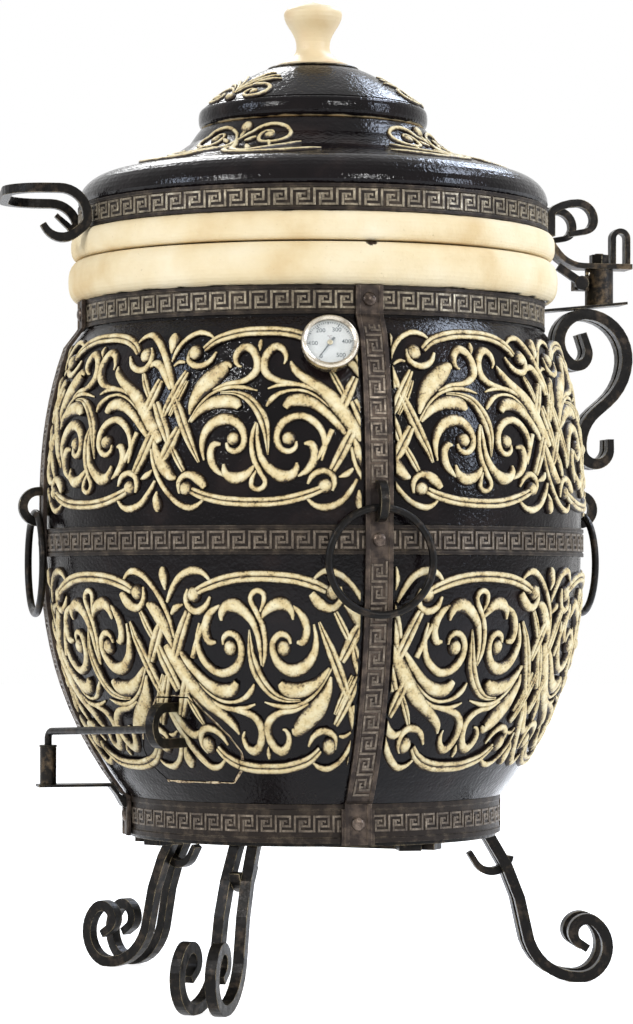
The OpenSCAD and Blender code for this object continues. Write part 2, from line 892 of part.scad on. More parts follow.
// Stepped pin: it stands in the barrel, and its thinner top passes through the arm
module hinge_pin() {
    foot = shelf_z + (post_r - strap_out(shelf_z) + pin_r) * tan(shelf_tilt) + 1;
    color("#5a5046")
        at(hinge_az)
            translate([post_r, 0, 0]) {
                translate([0, 0, foot])
                    cylinder(r = pin_r, h = barrel_top - foot);
                translate([0, 0, barrel_top - eps])
                    cylinder(r = neck_r_pin, h = arm_top - barrel_top + 12);
            }
}

module hinge_nut() {
    color("#2b2724")
        at(hinge_az)
            translate([post_r, 0, arm_top + weld_gap])
                difference() {
                    rotate([0, 0, 30])
                        hexagon(nut_af, 10.5);
                    translate([0, 0, -1])
                        cylinder(r = neck_r_pin + run_fit, h = 13);
                }
}

// Screw across the barrel's split lug, with a hub and a lever for tightening it
module clamp_screw() {
    hub_t = 6;
    lever = 33;
    color("#2f2a26")
        at(hinge_az)
            translate([lug_r - 1, 0, screw_z])
                rotate([90, 0, 0]) {
                    translate([0, 0, -12])
                        cylinder(r = screw_r, h = 12 + 7.3 + 1, $fn = 32);
                    translate([0, 0, 7.3])
                        cylinder(r = 8, h = hub_t);
                    translate([0, 0, 7.3])
                        rotate([0, 0, 147])
                            translate([0, -4.5, 0])
                                cube([lever, 9, hub_t - 1]);
                }
}

// ---- Lid --------------------------------------------------------------------------

lid_z = rim_z + seat_gap;
lid_ring_top = lid_z + lid_ring_h;
lid_ring_r = rim_r - 3;
lid_seat_r = lid_ring_r - 10.7;
lid_hoop_r = lid_seat_r + seat_gap + hoop_t;
lid_hoop_top = lid_ring_top + hoop_h - 1.5;
shoulder_top = lid_hoop_top + lid_shoulder_h;
seat_z = shoulder_top + lid_dome_h;

module lid_shell() {
    roll_w = 42;
    slope_r = lid_hoop_r - roll_w;
    bell_z = shoulder_top + 0.46 * lid_dome_h;
    outside = concat(
        [[mouth_r, lid_z], [lid_ring_r - 24, lid_z]],
        [for (p = roll(lid_seat_r, lid_ring_r, lid_z, lid_ring_top, 12)) if (p[0] > lid_seat_r + 1) p],
        [[lid_seat_r, lid_ring_top + 0.5], [lid_seat_r, lid_hoop_top]],
        arc([slope_r, lid_hoop_top + 5], roll_w - 0.5, lid_shoulder_h - 5, 0, 84, 9),
        [[slope_r - 14, shoulder_top + 0.12 * lid_dome_h],
            [seat_r + 48, shoulder_top + 0.27 * lid_dome_h],
            [seat_r + 39, shoulder_top + 0.33 * lid_dome_h], [seat_r + 28, bell_z],
            [seat_r + 14, shoulder_top + 0.65 * lid_dome_h],
            [seat_r + 6.5, shoulder_top + 0.86 * lid_dome_h],
            [seat_r + 2.5, shoulder_top + 0.96 * lid_dome_h], [seat_r - 1, seat_z]]);
    inside = [[vent_r, seat_z], [vent_r, seat_z - lid_wall + 4],
        [seat_r + 12, bell_z - lid_wall + 2], [slope_r - 24, shoulder_top - lid_wall + 2],
        [lid_seat_r - lid_wall - 4, lid_hoop_top - 10], [lid_seat_r - lid_wall - 4, lid_ring_top - 2],
        [mouth_r, lid_z + 14]];
    color("#241f1d")
        rotate_extrude()
            polygon(concat(outside, inside));
}

module lid_hoop() {
    z = lid_ring_top + 0.8;
    h = lid_hoop_top - z;
    low = lid_hoop_r - 1.2;
    color("#3a3129")
        rotate_extrude()
            polygon([[lid_hoop_r - hoop_t, z], [lid_hoop_r, z], [lid_hoop_r, z + 3.5],
                [low, z + 4.5], [low, z + h - 4.5], [lid_hoop_r, z + h - 3.5],
                [lid_hoop_r, z + h], [lid_hoop_r - hoop_t, z + h]]);
}

// Flat bar welded to the lid's hoop, bent round the clay ring and out over the barrel
module lid_arm() {
    end_r = post_r + 35;
    start_x = lid_hoop_r + seat_gap + arm_t / 2;
    lead = 13;
    lead_bend = 10;
    foot_bend = 38;
    drop = 52;
    top_z = lid_hoop_top - 3;
    run = (top_z - arm_z - arm_t / 2 - lead - lead_bend * cos(drop) - foot_bend * (1 - cos(drop)))
        / sin(drop);
    reach = start_x + lead_bend * (1 - sin(drop)) + run * cos(drop) + foot_bend * sin(drop);
    path = walk([[start_x, top_z, -90]],
        [[lead, 0], [lead_bend, 90 - drop], [run, 0], [foot_bend, drop], [end_r - reach, 0]]);
    color("#4d4338")
        difference() {
            at(hinge_az)
                upright(arm_w)
                    bar(path, arm_t);
            at(hinge_az)
                translate([post_r, 0, arm_z - 1])
                    cylinder(r = neck_r_pin + run_fit, h = arm_t + 2);
        }
}

// Upright loop of flat bar at the arm's end, the grip for lifting the lid off its pin
module lid_loop() {
    outer_x = post_r + 32.5;
    bend_r = 8.5;
    leg = 29.5;
    path = walk([[outer_x, arm_top + weld_gap, 90]], [[leg, 0], [bend_r, 180], [leg, 0]]);
    color("#3a332c")
        at(hinge_az)
            upright(12)
                bar(path, 6);
}

// Scrolls welded upright to the lid's hoop, one on each side of the arm
module lid_scrolls() {
    side_y = 40;
    t = 8.5;
    root = sqrt(pow(lid_hoop_r, 2) - pow(side_y - 5, 2)) + seat_gap + t / 2;
    path = walk([[root, lid_ring_top + 2.5, 90]],
        [[22, 0], [10, -60], [52, -30], [19, -90], [13, -80], [18, 0]]);
    color("#3a332c")
        at(hinge_az)
            for (side = [-1, 1])
                translate([0, side * side_y, 0])
                    upright(10)
                        bar(path, t, 1, 0.7);
}

// Wide lifting handle: a flat U of square bar whose legs bend down against the hoop; one
// leg ends in a wide hook, the other turns sharply back in a thin one
module lid_handle() {
    half_w = 76;
    t = 10;
    grip_z = lid_hoop_top + 12;
    tip_r = 346.6;
    corner = 42;
    leg_bend = 30;
    leg_x = sqrt(pow(lid_hoop_r, 2) - pow(half_w - t / 2, 2)) + seat_gap + t / 2;
    run = tip_r - t / 2 - corner - leg_x - leg_bend;
    plan = walk([[leg_x + leg_bend, -half_w, 0]],
        [[run, 0], [corner, 90], [2 * (half_w - corner), 0], [corner, 90], [run, 0]]);
    near = walk([[leg_x + leg_bend + eps, grip_z, 180]],
        [[leg_bend, 90], [2, 0], [12, 52], [12, 0], [21.5, 96], [5, 0]]);
    far = walk([[leg_x + leg_bend + eps, grip_z, 180]],
        [[leg_bend, 72], [5, 150], [20, 0]]);
    color("#2e2c29")
        at(handle_az) {
            translate([0, 0, grip_z - t / 2])
                linear_extrude(t)
                    bar(plan, t);
            translate([0, half_w, 0])
                upright(t)
                    bar(near, t, 1, 0.7);
            translate([0, -half_w, 0])
                upright(t)
                    bar(far, t, 1, 0.5, 3);
        }
}

// ---- Small lid and knob -----------------------------------------------------------

small_z = seat_z + seat_gap;
bead_top = small_z + 22;
small_r = seat_r + 3.3;
small_top = bead_top + small_dome_h;
plate_t = 3.5;
knob_z = small_top + plate_t + weld_gap;
bolt_r = 4;

module small_lid() {
    flat_r = 50;
    plug_r = vent_r - 3;
    ceiling = small_top - 17;
    crease_r = small_r - 6;
    dome = [for (i = [0:9]) let (s = i / 10)
        [crease_r + (flat_r - crease_r) * s, bead_top + 1 + (small_dome_h - 1) * (1 - pow(1 - s, 1.3))]];
    outside = concat(
        [[plug_r - 10, small_z - 14], [plug_r - 2, small_z - 14], [plug_r, small_z - 12],
            [plug_r, small_z]],
        [for (p = roll(small_r - 7, small_r, small_z, bead_top, 10)) p],
        dome, [[flat_r + 1, small_top], [bolt_r + 0.5, small_top]]);
    inside = [[bolt_r + 0.5, ceiling], [30, ceiling - 1], [60, ceiling - 10], [plug_r - 10, small_z + 4]];
    color("#241f1d")
        rotate_extrude()
            polygon(concat(outside, inside));
}

module knob_plate() {
    color("#2b2624")
        translate([0, 0, small_top + weld_gap / 2])
            difference() {
                rotate_extrude()
                    polygon([[0, 0], [49, 0], [51, 1.2], [50, 2.4], [42, plate_t], [0, plate_t]]);
                translate([0, 0, -1])
                    cylinder(r = bolt_r + 0.2, h = plate_t + 2);
            }
}

// Turned knob: a flared foot, a waist and a mushroom head
module knob() {
    waist_r = 0.57 * knob_r;
    waist_z = 0.31 * knob_h;
    head_z = 0.8 * knob_h;
    foot_r = 41;
    foot_curve = [for (i = [0:8]) let (s = i / 8)
        [waist_r + (foot_r - waist_r) * pow(1 - s, 2.4), 2 + (waist_z - 2) * s]];
    head_curve = [for (i = [1:8]) let (s = i / 8)
        [waist_r + (knob_r - waist_r) * (0.5 - 0.5 * cos(180 * pow(s, 1.15))),
            waist_z + (head_z - waist_z) * s]];
    crown = [for (i = [1:9]) let (a = i * 10)
        [(knob_r - 14) + 14 * cos(a), head_z + (knob_h - head_z) * 0.62 * sin(a)]];
    color("#e8c98a")
        translate([0, 0, knob_z])
            difference() {
                rotate_extrude()
                    polygon(concat([[0, 0], [foot_r, 0]], foot_curve, head_curve, crown,
                        [[0, knob_h]]));
                translate([0, 0, -1])
                    cylinder(r = bolt_r + run_fit, h = 40);
            }
}

module knob_bolt() {
    color("#6f675c")
        translate([0, 0, small_top - 27])
            cylinder(r = bolt_r, h = 27 + plate_t + 36);
}

module knob_nut() {
    color("#6f675c")
        translate([0, 0, small_top - 17 - 8.5])
            difference() {
                union() {
                    hexagon(13, 6.5);
                    translate([0, 0, 6.4])
                        cylinder(r = 11, h = 1.8);
                }
                translate([0, 0, -1])
                    cylinder(r = bolt_r + run_fit, h = 12);
            }
}

clay_pot();
hoop_top();
hoop_middle();
hoop_bottom();
strap_front();
strap_right();
strap_back();
strap_left();
strap_rivets();
staple_front();
staple_right();
staple_back();
staple_left();
ring_front();
ring_right();
ring_back();
ring_left();
stand_ring();
stand_cross();
leg_rear_left();
leg_front();
leg_right();
fire_grate();
thermometer_case();
thermometer_bezel();
thermometer_dial();
thermometer_glass();
thermometer_needle();
thermometer_stem();
thermometer_nut();
ash_door();
door_loop();
door_nuts();
door_rod();
door_washer();
door_barrel();
door_plate();
hinge_shelf();
hinge_barrel();
hinge_bracket();
hinge_pin();
hinge_nut();
clamp_screw();
lid_shell();
lid_hoop();
lid_arm();
lid_loop();
lid_scrolls();
lid_handle();
small_lid();
knob_plate();
knob();
knob_bolt();
knob_nut();
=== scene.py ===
# %% [markdown]
# A clay oven on a scroll stand. The clay barrel, the iron hoops and straps, the hinge and the
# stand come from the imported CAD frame. This lesson adds what a potter and a smith add by hand:
# the raised scrollwork, the pressed key pattern, the printed dial, and the finishes.

# %% Load the frame
import bmesh
import bpy
import math
import random
from mathutils import Matrix, Vector


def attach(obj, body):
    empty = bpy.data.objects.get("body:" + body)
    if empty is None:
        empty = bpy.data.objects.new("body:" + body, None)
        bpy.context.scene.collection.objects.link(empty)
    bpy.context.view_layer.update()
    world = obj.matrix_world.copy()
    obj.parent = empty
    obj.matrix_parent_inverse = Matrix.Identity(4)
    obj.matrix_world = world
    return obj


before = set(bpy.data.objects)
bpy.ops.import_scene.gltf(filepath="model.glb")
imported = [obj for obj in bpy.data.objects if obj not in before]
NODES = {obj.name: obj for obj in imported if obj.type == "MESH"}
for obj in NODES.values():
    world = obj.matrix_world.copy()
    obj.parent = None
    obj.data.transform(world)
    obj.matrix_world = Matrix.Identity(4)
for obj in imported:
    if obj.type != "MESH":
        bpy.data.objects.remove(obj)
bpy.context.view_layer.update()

# %% [markdown]
# The photograph was taken from the front with a long lens held level, a little below the
# middle of the barrel. A level camera keeps the barrel's sides upright, so the lens is
# shifted upwards, as on a view camera, and isn't tilted.

# %% Camera
scene = bpy.context.scene
PHOTO_H = 1024
LENS_PX, RIGHT_PX, UP_PX = 3380, 3.5, 80.3  # focal length and shifts, in pixels of the photo
optics = bpy.data.cameras.new("camera")
camera = bpy.data.objects.new("camera", optics)
optics.sensor_fit = "VERTICAL"
optics.sensor_height = 36
optics.lens = LENS_PX / PHOTO_H * optics.sensor_height
optics.shift_x = RIGHT_PX / PHOTO_H
optics.shift_y = UP_PX / PHOTO_H
camera.location = (0, -3.76, 0.436)
camera.rotation_euler = (math.radians(90), 0, 0)
optics.clip_end = 60
scene.collection.objects.link(camera)
scene.camera = camera
scene.view_settings.view_transform = "Standard"
print("lens", round(optics.lens, 1), "mm")

# %% [markdown]
# Every material here is a small tree of nodes. One function adds a node with its settings and
# what feeds it. Another turns the sRGB hex colours of a paint chart to the linear light that the
# renderer works in, and a third gives a noise scale from a real size in millimetres.


# %% Node helpers
def linear(hexcode, alpha=1):
    channels = [int(hexcode[i:i + 2], 16) / 255 for i in (1, 3, 5)]
    return [c / 12.92 if c <= 0.04045 else ((c + 0.055) / 1.055) ** 2.4 for c in channels] + [alpha]


def per_mm(size):
    return 1000 / size


def feed(tree, node, feeds):
    """Sets a node's inputs from constants, sockets, or nodes, which give their first live output."""
    for key, value in feeds.items():
        if isinstance(value, bpy.types.Node):
            value = next(socket for socket in value.outputs if socket.enabled)
        if isinstance(value, bpy.types.NodeSocket):
            tree.links.new(value, node.inputs[key])
        else:
            node.inputs[key].default_value = value


def add(tree, kind, feeds=None, stops=(), **settings):
    """Adds a node with its settings and feeds; stops colour a ramp."""
    node = tree.nodes.new("ShaderNode" + kind)
    for name, value in settings.items():
        setattr(node, name, value)
    feed(tree, node, feeds or {})
    for i, (position, hexcode) in enumerate(stops):
        if i >= len(node.color_ramp.elements):
            node.color_ramp.elements.new(0.99)
        node.color_ramp.elements[i].position = position
        node.color_ramp.elements[i].color = linear(hexcode)
    return node


def new_material(name, feeds):
    """A material with a Principled shader, and the Object coordinates its patterns use."""
    material = bpy.data.materials.new(name)
    material.use_nodes = True
    tree = material.node_tree
    shader = tree.nodes["Principled BSDF"]
    feed(tree, shader, feeds)
    return material, tree, shader, add(tree, "TexCoord").outputs["Object"]


print("helpers ready")

# %% [markdown]
# The barrel is dipped in a black iron glaze and left bare where clay meets clay: at the rim, at
# the lid's lower ring and inside. A dipped glaze pools and pulls into an orange-peel skin, which
# breaks the studio lights into sparkles. Bare fired clay is a warm cream with soot and iron specks.


# %% Clay and glaze colours
def clay_colors(tree, place):
    broad = add(tree, "TexNoise", {"Vector": place, "Scale": per_mm(80), "Detail": 5.0})
    tone = add(tree, "ValToRGB", {"Fac": broad}, [(0.3, "#d6bb8c"), (0.46, "#e3cfa6"), (0.7, "#ecdebe")])
    fine = add(tree, "TexNoise", {"Vector": place, "Scale": per_mm(3), "Detail": 5.0, "Roughness": 0.6})
    speck = add(tree, "MapRange", {"Value": fine, "From Min": 0.66, "From Max": 0.78, "To Max": 0.75})
    return add(tree, "Mix", {0: speck, 6: tone, 7: linear("#a1875f")}, data_type="RGBA"), fine


def glaze_colors(tree, place):
    broad = add(tree, "TexNoise", {"Vector": place, "Scale": per_mm(60), "Detail": 4.0})
    return add(tree, "ValToRGB", {"Fac": broad}, [(0.35, "#0a0708"), (0.58, "#130e0f"),
                                                  (0.75, "#241b19")])


print("clay colours ready")


# %% Glazed clay
def glazed_clay(name, glaze_from, glaze_to, chip=None):
    """Clay glazed between two heights (m) on the faces that look outwards; bare elsewhere."""
    material, tree, shader, place = new_material(name, {"Specular IOR Level": 0.13})
    clay, grain = clay_colors(tree, place)
    glaze = glaze_colors(tree, place)
    split = add(tree, "SeparateXYZ", {"Vector": place})
    wobble = add(tree, "TexNoise", {"Vector": place, "Scale": per_mm(25), "Detail": 2.0})
    edge = add(tree, "MapRange", {"Value": wobble, "From Min": 0.3, "From Max": 0.7, "To Min": -0.0012,
                                  "To Max": 0.0012})
    height = add(tree, "Math", {0: split.outputs["Z"], 1: edge})
    above = add(tree, "MapRange", {"Value": height, "From Min": glaze_from - 0.0006,
                                   "From Max": glaze_from + 0.0006})
    below = add(tree, "MapRange", {"Value": height, "From Min": glaze_to - 0.0006,
                                   "From Max": glaze_to + 0.0006,
                                   "To Min": 1.0, "To Max": 0.0})
    glazed = add(tree, "Math", {0: above, 1: below}, operation="MULTIPLY")
    flat = add(tree, "CombineXYZ", {"X": split.outputs["X"], "Y": split.outputs["Y"]})
    facing = add(tree, "TexCoord").outputs["Normal"]
    lean = add(tree, "VectorMath", {0: flat, 1: facing}, operation="DOT_PRODUCT")
    outer = add(tree, "MapRange", {"Value": lean, "From Min": 0.0, "From Max": 0.002})
    glazed = add(tree, "Math", {0: glazed, 1: outer}, operation="MULTIPLY")
    if chip:
        far = add(tree, "VectorMath", {0: place, 1: chip}, operation="DISTANCE")
        ragged = add(tree, "MapRange", {"Value": grain, "From Min": 0.3, "From Max": 0.7,
                                        "To Min": -0.002, "To Max": 0.002})
        reach = add(tree, "Math", {0: far, 1: ragged})
        hurt = add(tree, "MapRange", {"Value": reach, "From Min": 0.0055, "From Max": 0.007,
                                      "To Min": 1.0, "To Max": 0.0})
        clay = add(tree, "Mix", {0: hurt, 6: clay, 7: linear("#2c2118")}, data_type="RGBA")
    color = add(tree, "Mix", {0: glazed, 6: clay, 7: glaze}, data_type="RGBA")
    rough = add(tree, "MapRange", {"Value": glazed, "To Min": 0.72, "To Max": 0.1})
    slump = add(tree, "TexNoise", {"Vector": place, "Scale": per_mm(45), "Detail": 2.0})
    waves = add(tree, "Bump", {"Height": slump, "Distance": 0.0025, "Strength": 0.6})
    peel = add(tree, "TexNoise", {"Vector": place, "Scale": per_mm(3.6), "Detail": 2.0})
    skin = add(tree, "Bump", {"Height": peel, "Distance": 0.0008, "Strength": 0.7, "Normal": waves})
    sand = add(tree, "Bump", {"Height": grain, "Distance": 0.0002, "Strength": 0.3, "Normal": skin})
    feed(tree, shader, {"Base Color": color, "Roughness": rough, "Normal": sand})
    return material


pot_clay = glazed_clay("black_glazed_earthenware_barrel", 0.0, 0.7555, chip=(0.0609, -0.2565, 0.8005))
lid_clay = glazed_clay("black_glazed_earthenware_lid", 0.8322, 2.0)
cap_clay = glazed_clay("black_glazed_earthenware_cap", 0.9502, 2.0)
print("glazes mixed")

# %% Knob clay
knob_clay, tree, shader, place = new_material("bare_turned_stoneware", {"Roughness": 0.45})
clay, grain = clay_colors(tree, place)
flame = add(tree, "TexNoise", {"Vector": place, "Scale": per_mm(40), "Detail": 3.0})
warm = add(tree, "MapRange", {"Value": flame, "From Min": 0.45, "From Max": 0.7, "To Max": 0.5})
color = add(tree, "Mix", {0: warm, 6: clay, 7: linear("#d8b07a")}, data_type="RGBA")
turned = add(tree, "Bump", {"Height": flame, "Distance": 0.001, "Strength": 0.3})
sand = add(tree, "Bump", {"Height": grain, "Distance": 0.0003, "Strength": 0.35, "Normal": turned})
feed(tree, shader, {"Base Color": color, "Normal": sand})
print("knob finish made")

# %% [markdown]
# The smith's iron was oil-blacked, then handled: brown shows where hands and hammers rubbed it,
# and the rounded edges are painted bright, partly as wear and partly as painted highlight.
# Forged bar keeps the facets of the hammer, about 10 mm across.
# The thin bands are pressed sheet, smoother, and brushed with a bronze rub.


# %% Iron finishes
def blackened_iron(name, dark, rubbed, worn, hammer=11.0, share=0.6, rough=0.42):
    material, tree, shader, place = new_material(name, {"Metallic": 0.6, "Specular IOR Level": 0.25})
    wear = add(tree, "TexNoise", {"Vector": place, "Scale": per_mm(14), "Detail": 7.0, "Roughness": 0.65})
    bare = add(tree, "MapRange", {"Value": wear, "From Min": share - 0.1, "From Max": share + 0.12})
    color = add(tree, "Mix", {0: bare, 6: linear(dark), 7: linear(rubbed)}, data_type="RGBA")
    rounded = add(tree, "Bevel", {"Radius": 0.0012}, samples=4)
    true = add(tree, "NewGeometry").outputs["Normal"]
    turn = add(tree, "VectorMath", {0: rounded, 1: true}, operation="DOT_PRODUCT")
    # The worn colour on the rounded edges is partly wear and partly painted highlight.
    edge = add(tree, "MapRange", {"Value": turn, "From Min": 0.99, "From Max": 0.86})
    rubs = add(tree, "MapRange", {"Value": wear, "From Min": 0.4, "From Max": 0.6})
    edge = add(tree, "Math", {0: edge, 1: rubs}, operation="MULTIPLY")
    color = add(tree, "Mix", {0: edge, 6: color, 7: linear(worn)}, data_type="RGBA")
    grain = add(tree, "TexNoise", {"Vector": place, "Scale": per_mm(1.6), "Detail": 4.0})
    gloss = add(tree, "MapRange", {"Value": grain, "From Min": 0.3, "From Max": 0.7,
                                   "To Min": rough - 0.1, "To Max": rough + 0.16})
    dents = add(tree, "TexVoronoi", {"Vector": place, "Scale": per_mm(hammer), "Smoothness": 0.6},
                feature="SMOOTH_F1")
    blows = add(tree, "Bump", {"Height": dents, "Distance": 0.0014, "Strength": 0.5, "Normal": rounded})
    scale = add(tree, "Bump", {"Height": grain, "Distance": 0.00015, "Strength": 0.4, "Normal": blows})
    feed(tree, shader, {"Base Color": color, "Roughness": gloss, "Normal": scale})
    return material


forged = blackened_iron("oil_blacked_forged_bar", "#12100e", "#41372d", "#a29372", share=0.62, rough=0.36)
bronzed = blackened_iron("bronzed_forged_bar", "#1a1714", "#63533f", "#9d8c70", share=0.56)
band = blackened_iron("pressed_band_steel", "#221c18", "#43392f", "#6e6353", hammer=30.0, rough=0.46)
strap_steel = blackened_iron("bronzed_strap_steel", "#2c2521", "#54483e", "#7b6c5c", hammer=30.0,
                             share=0.55, rough=0.48)
rivet_steel = blackened_iron("hammered_rivet_steel", "#332a24", "#75665a", "#b3a792", hammer=6.0,
                             share=0.55, rough=0.3)
cast = blackened_iron("sand_cast_iron", "#2b2a29", "#3d3a37", "#55504a", hammer=4.0, rough=0.6)
print("iron finishes made")


# %% Machined steel
def machined_steel(name, color, rough, spin_mm=1.2):
    """Turned or drawn steel: fine even lines that catch the light along their length."""
    material, tree, shader, place = new_material(name, {"Metallic": 1.0})
    smut = add(tree, "TexNoise", {"Vector": place, "Scale": per_mm(12), "Detail": 4.0})
    dirty = add(tree, "MapRange", {"Value": smut, "From Min": 0.55, "From Max": 0.8})
    tone = add(tree, "Mix", {0: dirty, 6: linear(color), 7: linear("#6d6153")}, data_type="RGBA")
    lines = add(tree, "TexNoise", {"Vector": place, "Scale": per_mm(spin_mm), "Detail": 5.0})
    gloss = add(tree, "MapRange", {"Value": lines, "From Min": 0.3, "From Max": 0.7,
                                   "To Min": rough - 0.06, "To Max": rough + 0.1})
    rounded = add(tree, "Bevel", {"Radius": 0.0006}, samples=4)
    spun = add(tree, "Bump", {"Height": lines, "Distance": 0.00005, "Strength": 0.35, "Normal": rounded})
    feed(tree, shader, {"Base Color": tone, "Roughness": gloss, "Normal": spun})
    return material


stainless = machined_steel("spun_stainless_steel", "#bdb4a4", 0.24)
zinc = machined_steel("zinc_plated_steel", "#8a8176", 0.34, spin_mm=2.0)
print("steels made")

# %% [markdown]
# The thermometer has a white enamelled dial behind glass. Glass this thin is left clear, with a
# sharp highlight and a trace of green, so that the needle and figures read through it.

# %% Dial finishes
enamel, tree, shader, place = new_material("white_enamelled_dial", {"Roughness": 0.35})
age = add(tree, "TexNoise", {"Vector": place, "Scale": per_mm(18), "Detail": 3.0})
color = add(tree, "ValToRGB", {"Fac": age}, [(0.3, "#dfddd8"), (0.7, "#edebe7")])
feed(tree, shader, {"Base Color": color})

glass, tree, shader, place = new_material("clear_dial_glass",
                                          {"Roughness": 0.03, "IOR": 1.5, "Alpha": 0.12})
faint = add(tree, "TexNoise", {"Vector": place, "Scale": per_mm(30)})
color = add(tree, "ValToRGB", {"Fac": faint}, [(0.3, "#dfe9e6"), (0.7, "#e8f0ee")])
feed(tree, shader, {"Base Color": color})
glass.surface_render_method = "BLENDED"


def print_ink(name, light, dark):
    """Screen-printed ink or spray paint: flat colour with a slightly uneven film."""
    material, tree, shader, place = new_material(name, {"Roughness": 0.5})
    film = add(tree, "TexNoise", {"Vector": place, "Scale": per_mm(2.5), "Detail": 2.0})
    color = add(tree, "ValToRGB", {"Fac": film}, [(0.35, dark), (0.65, light)])
    uneven = add(tree, "Bump", {"Height": film, "Distance": 0.00002, "Strength": 0.2})
    feed(tree, shader, {"Base Color": color, "Normal": uneven})
    return material


black_ink = print_ink("black_dial_ink", "#26262c", "#151519")
red_ink = print_ink("red_dial_ink", "#7a4643", "#653533")
needle_paint = print_ink("black_needle_paint", "#2a2a2c", "#19191b")
print("dial finishes made")

# %% [markdown]
# Each carried-over part gets the finish of its own trade: the potter's glaze, the smith's black
# iron, the rolled bands, the turned thermometer. They're given here in one go, because a part
# that keeps its plain CAD colour would look like plastic.


# %% Give every carried-over node its finish
def finish_node(material, *names):
    for name in names:
        slots = NODES[name].data.materials
        slots.clear()
        slots.append(material)


sides = ("front", "right", "back", "left")
finish_node(pot_clay, "clay_pot", "ash_door")
finish_node(lid_clay, "lid_shell")
finish_node(cap_clay, "small_lid")
finish_node(knob_clay, "knob")
finish_node(band, "hoop_top", "hoop_middle", "hoop_bottom", "lid_hoop")
finish_node(strap_steel, *["strap_" + s for s in sides])
finish_node(rivet_steel, "strap_rivets")
finish_node(forged, *["staple_" + s for s in sides], *["ring_" + s for s in sides], "leg_rear_left",
            "leg_front", "leg_right", "stand_ring", "stand_cross", "door_loop", "door_rod", "door_washer",
            "door_plate", "lid_handle", "lid_loop", "lid_scrolls", "knob_plate", "clamp_screw",
            "hinge_nut", "hinge_bracket", "hinge_shelf")
finish_node(bronzed, "hinge_barrel", "hinge_pin", "door_barrel", "lid_arm")
finish_node(cast, "fire_grate")
finish_node(stainless, "thermometer_case", "thermometer_bezel", "thermometer_stem", "thermometer_nut")
finish_node(enamel, "thermometer_dial")
finish_node(glass, "thermometer_glass")
finish_node(needle_paint, "thermometer_needle")
finish_node(zinc, "door_nuts", "knob_bolt", "knob_nut")
print("finishes given to", len(NODES), "nodes")

# %% [markdown]
# The relief was pressed from moulds and stuck on the wet barrel, then brushed cream over the
# black, with a brown wash wiped from the high parts. Its darkening towards each strand's foot,
# on its flanks and in its groove is partly that wash and partly painted shade. Each strand of it
# is one bar of clay with a rounded back, so each is made the same way: a grid whose long side
# follows the strand and whose short side goes round its section. The barrel's radius at each
# height is the CAD's own curve.

# %% The barrel's surface
BELLY_R, BELLY_Z = 0.2975, 0.512
SHOULDER_DROP, SHOULDER_Z = 0.0268, 0.704
FOOT_DROP, FOOT_Z = 0.089, 0.213


def around(angle, r=1, z=0):
    """The point at a radius and height, at an angle from the front, positive towards +X."""
    return Vector((r * math.sin(angle), -r * math.cos(angle), z))


def barrel_radius(z):
    if z > BELLY_Z:
        return BELLY_R - SHOULDER_DROP * (min(z, 0.709) - BELLY_Z) ** 2.6 / (SHOULDER_Z - BELLY_Z) ** 2.6
    return BELLY_R - FOOT_DROP * ((BELLY_Z - z) / (BELLY_Z - FOOT_Z)) ** 2.6


def barrel_point(azimuth, z, height):
    """Azimuth in degrees; height stands off the glaze."""
    return around(math.radians(azimuth), barrel_radius(z) + height, z)


def curve_through(knots, steps):
    """A smooth run of values through the knots (Catmull-Rom), steps per stretch."""
    out = []
    for i in range(len(knots) - 1):
        a, b, c, d = (knots[max(0, min(len(knots) - 1, i + k))] for k in (-1, 0, 1, 2))
        for j in range(steps):
            t = j / steps
            out.append([0.5 * (2 * q + (r - p) * t + (2 * p - 5 * q + 4 * r - s) * t * t
                               + (3 * q - p - 3 * r + s) * t ** 3) for p, q, r, s in zip(a, b, c, d)])
    out.append(list(knots[-1]))
    return out


# Section of a strand: (across, -1 to 1; share of its height). Two points lie under the glaze.
ROUND = [(-1, -0.45), (-1, 0.15), (-0.82, 0.62), (-0.45, 0.93), (0, 1.0), (0.45, 0.93), (0.82, 0.62),
         (1, 0.15), (1, -0.45)]
GROOVED = [(-1, -0.45), (-1, 0.2), (-0.8, 0.8), (-0.42, 1.0), (-0.13, 0.75), (0, 0.35), (0.13, 0.75),
           (0.42, 1.0), (0.8, 0.8), (1, 0.2), (1, -0.45)]
WIDEN = 1.12  # the slip that was brushed on made every strand a little wider than its mould


def crested():
    """An empty bmesh, and the layer that keeps how near each point is to its strand's crest."""
    bm = bmesh.new()
    return bm, bm.verts.layers.float.new("crest")


def add_strand(bm, crest, knots, section, place, relief=5.4):
    """Adds one strand. knots are (s, z, width) in mm; place(s, z, height) gives the point."""
    path = curve_through(knots, 4)
    count = len(section)
    made = bmesh.ops.create_grid(bm, x_segments=len(path) - 1, y_segments=count, size=1)["verts"]
    widths = [max(knot[2] * WIDEN, 0.05) for knot in path]
    for vert in made:
        i = round((vert.co.x + 1) / 2 * (len(path) - 1))
        j = round((vert.co.y + 1) / 2 * count) % count
        before, after = path[max(0, i - 1)], path[min(len(path) - 1, i + 1)]
        ds, dz = after[0] - before[0], after[1] - before[1]
        length = math.hypot(ds, dz) or 1
        across, share = section[j]
        half = widths[i] / 2 * across
        tall = min(relief, 0.6 * widths[i] + 0.4)
        vert[crest] = share if share > 0 else 0
        vert.co = place(path[i][0] - dz / length * half, path[i][1] + ds / length * half,
                        tall * share / 1000)
    rim = {v for v in made for e in v.link_edges if e.is_boundary}
    bmesh.ops.remove_doubles(bm, verts=list(rim), dist=1e-5)
    ends = {e for v in made if v.is_valid for e in v.link_edges if e.is_boundary}
    bmesh.ops.holes_fill(bm, edges=list(ends), sides=0)


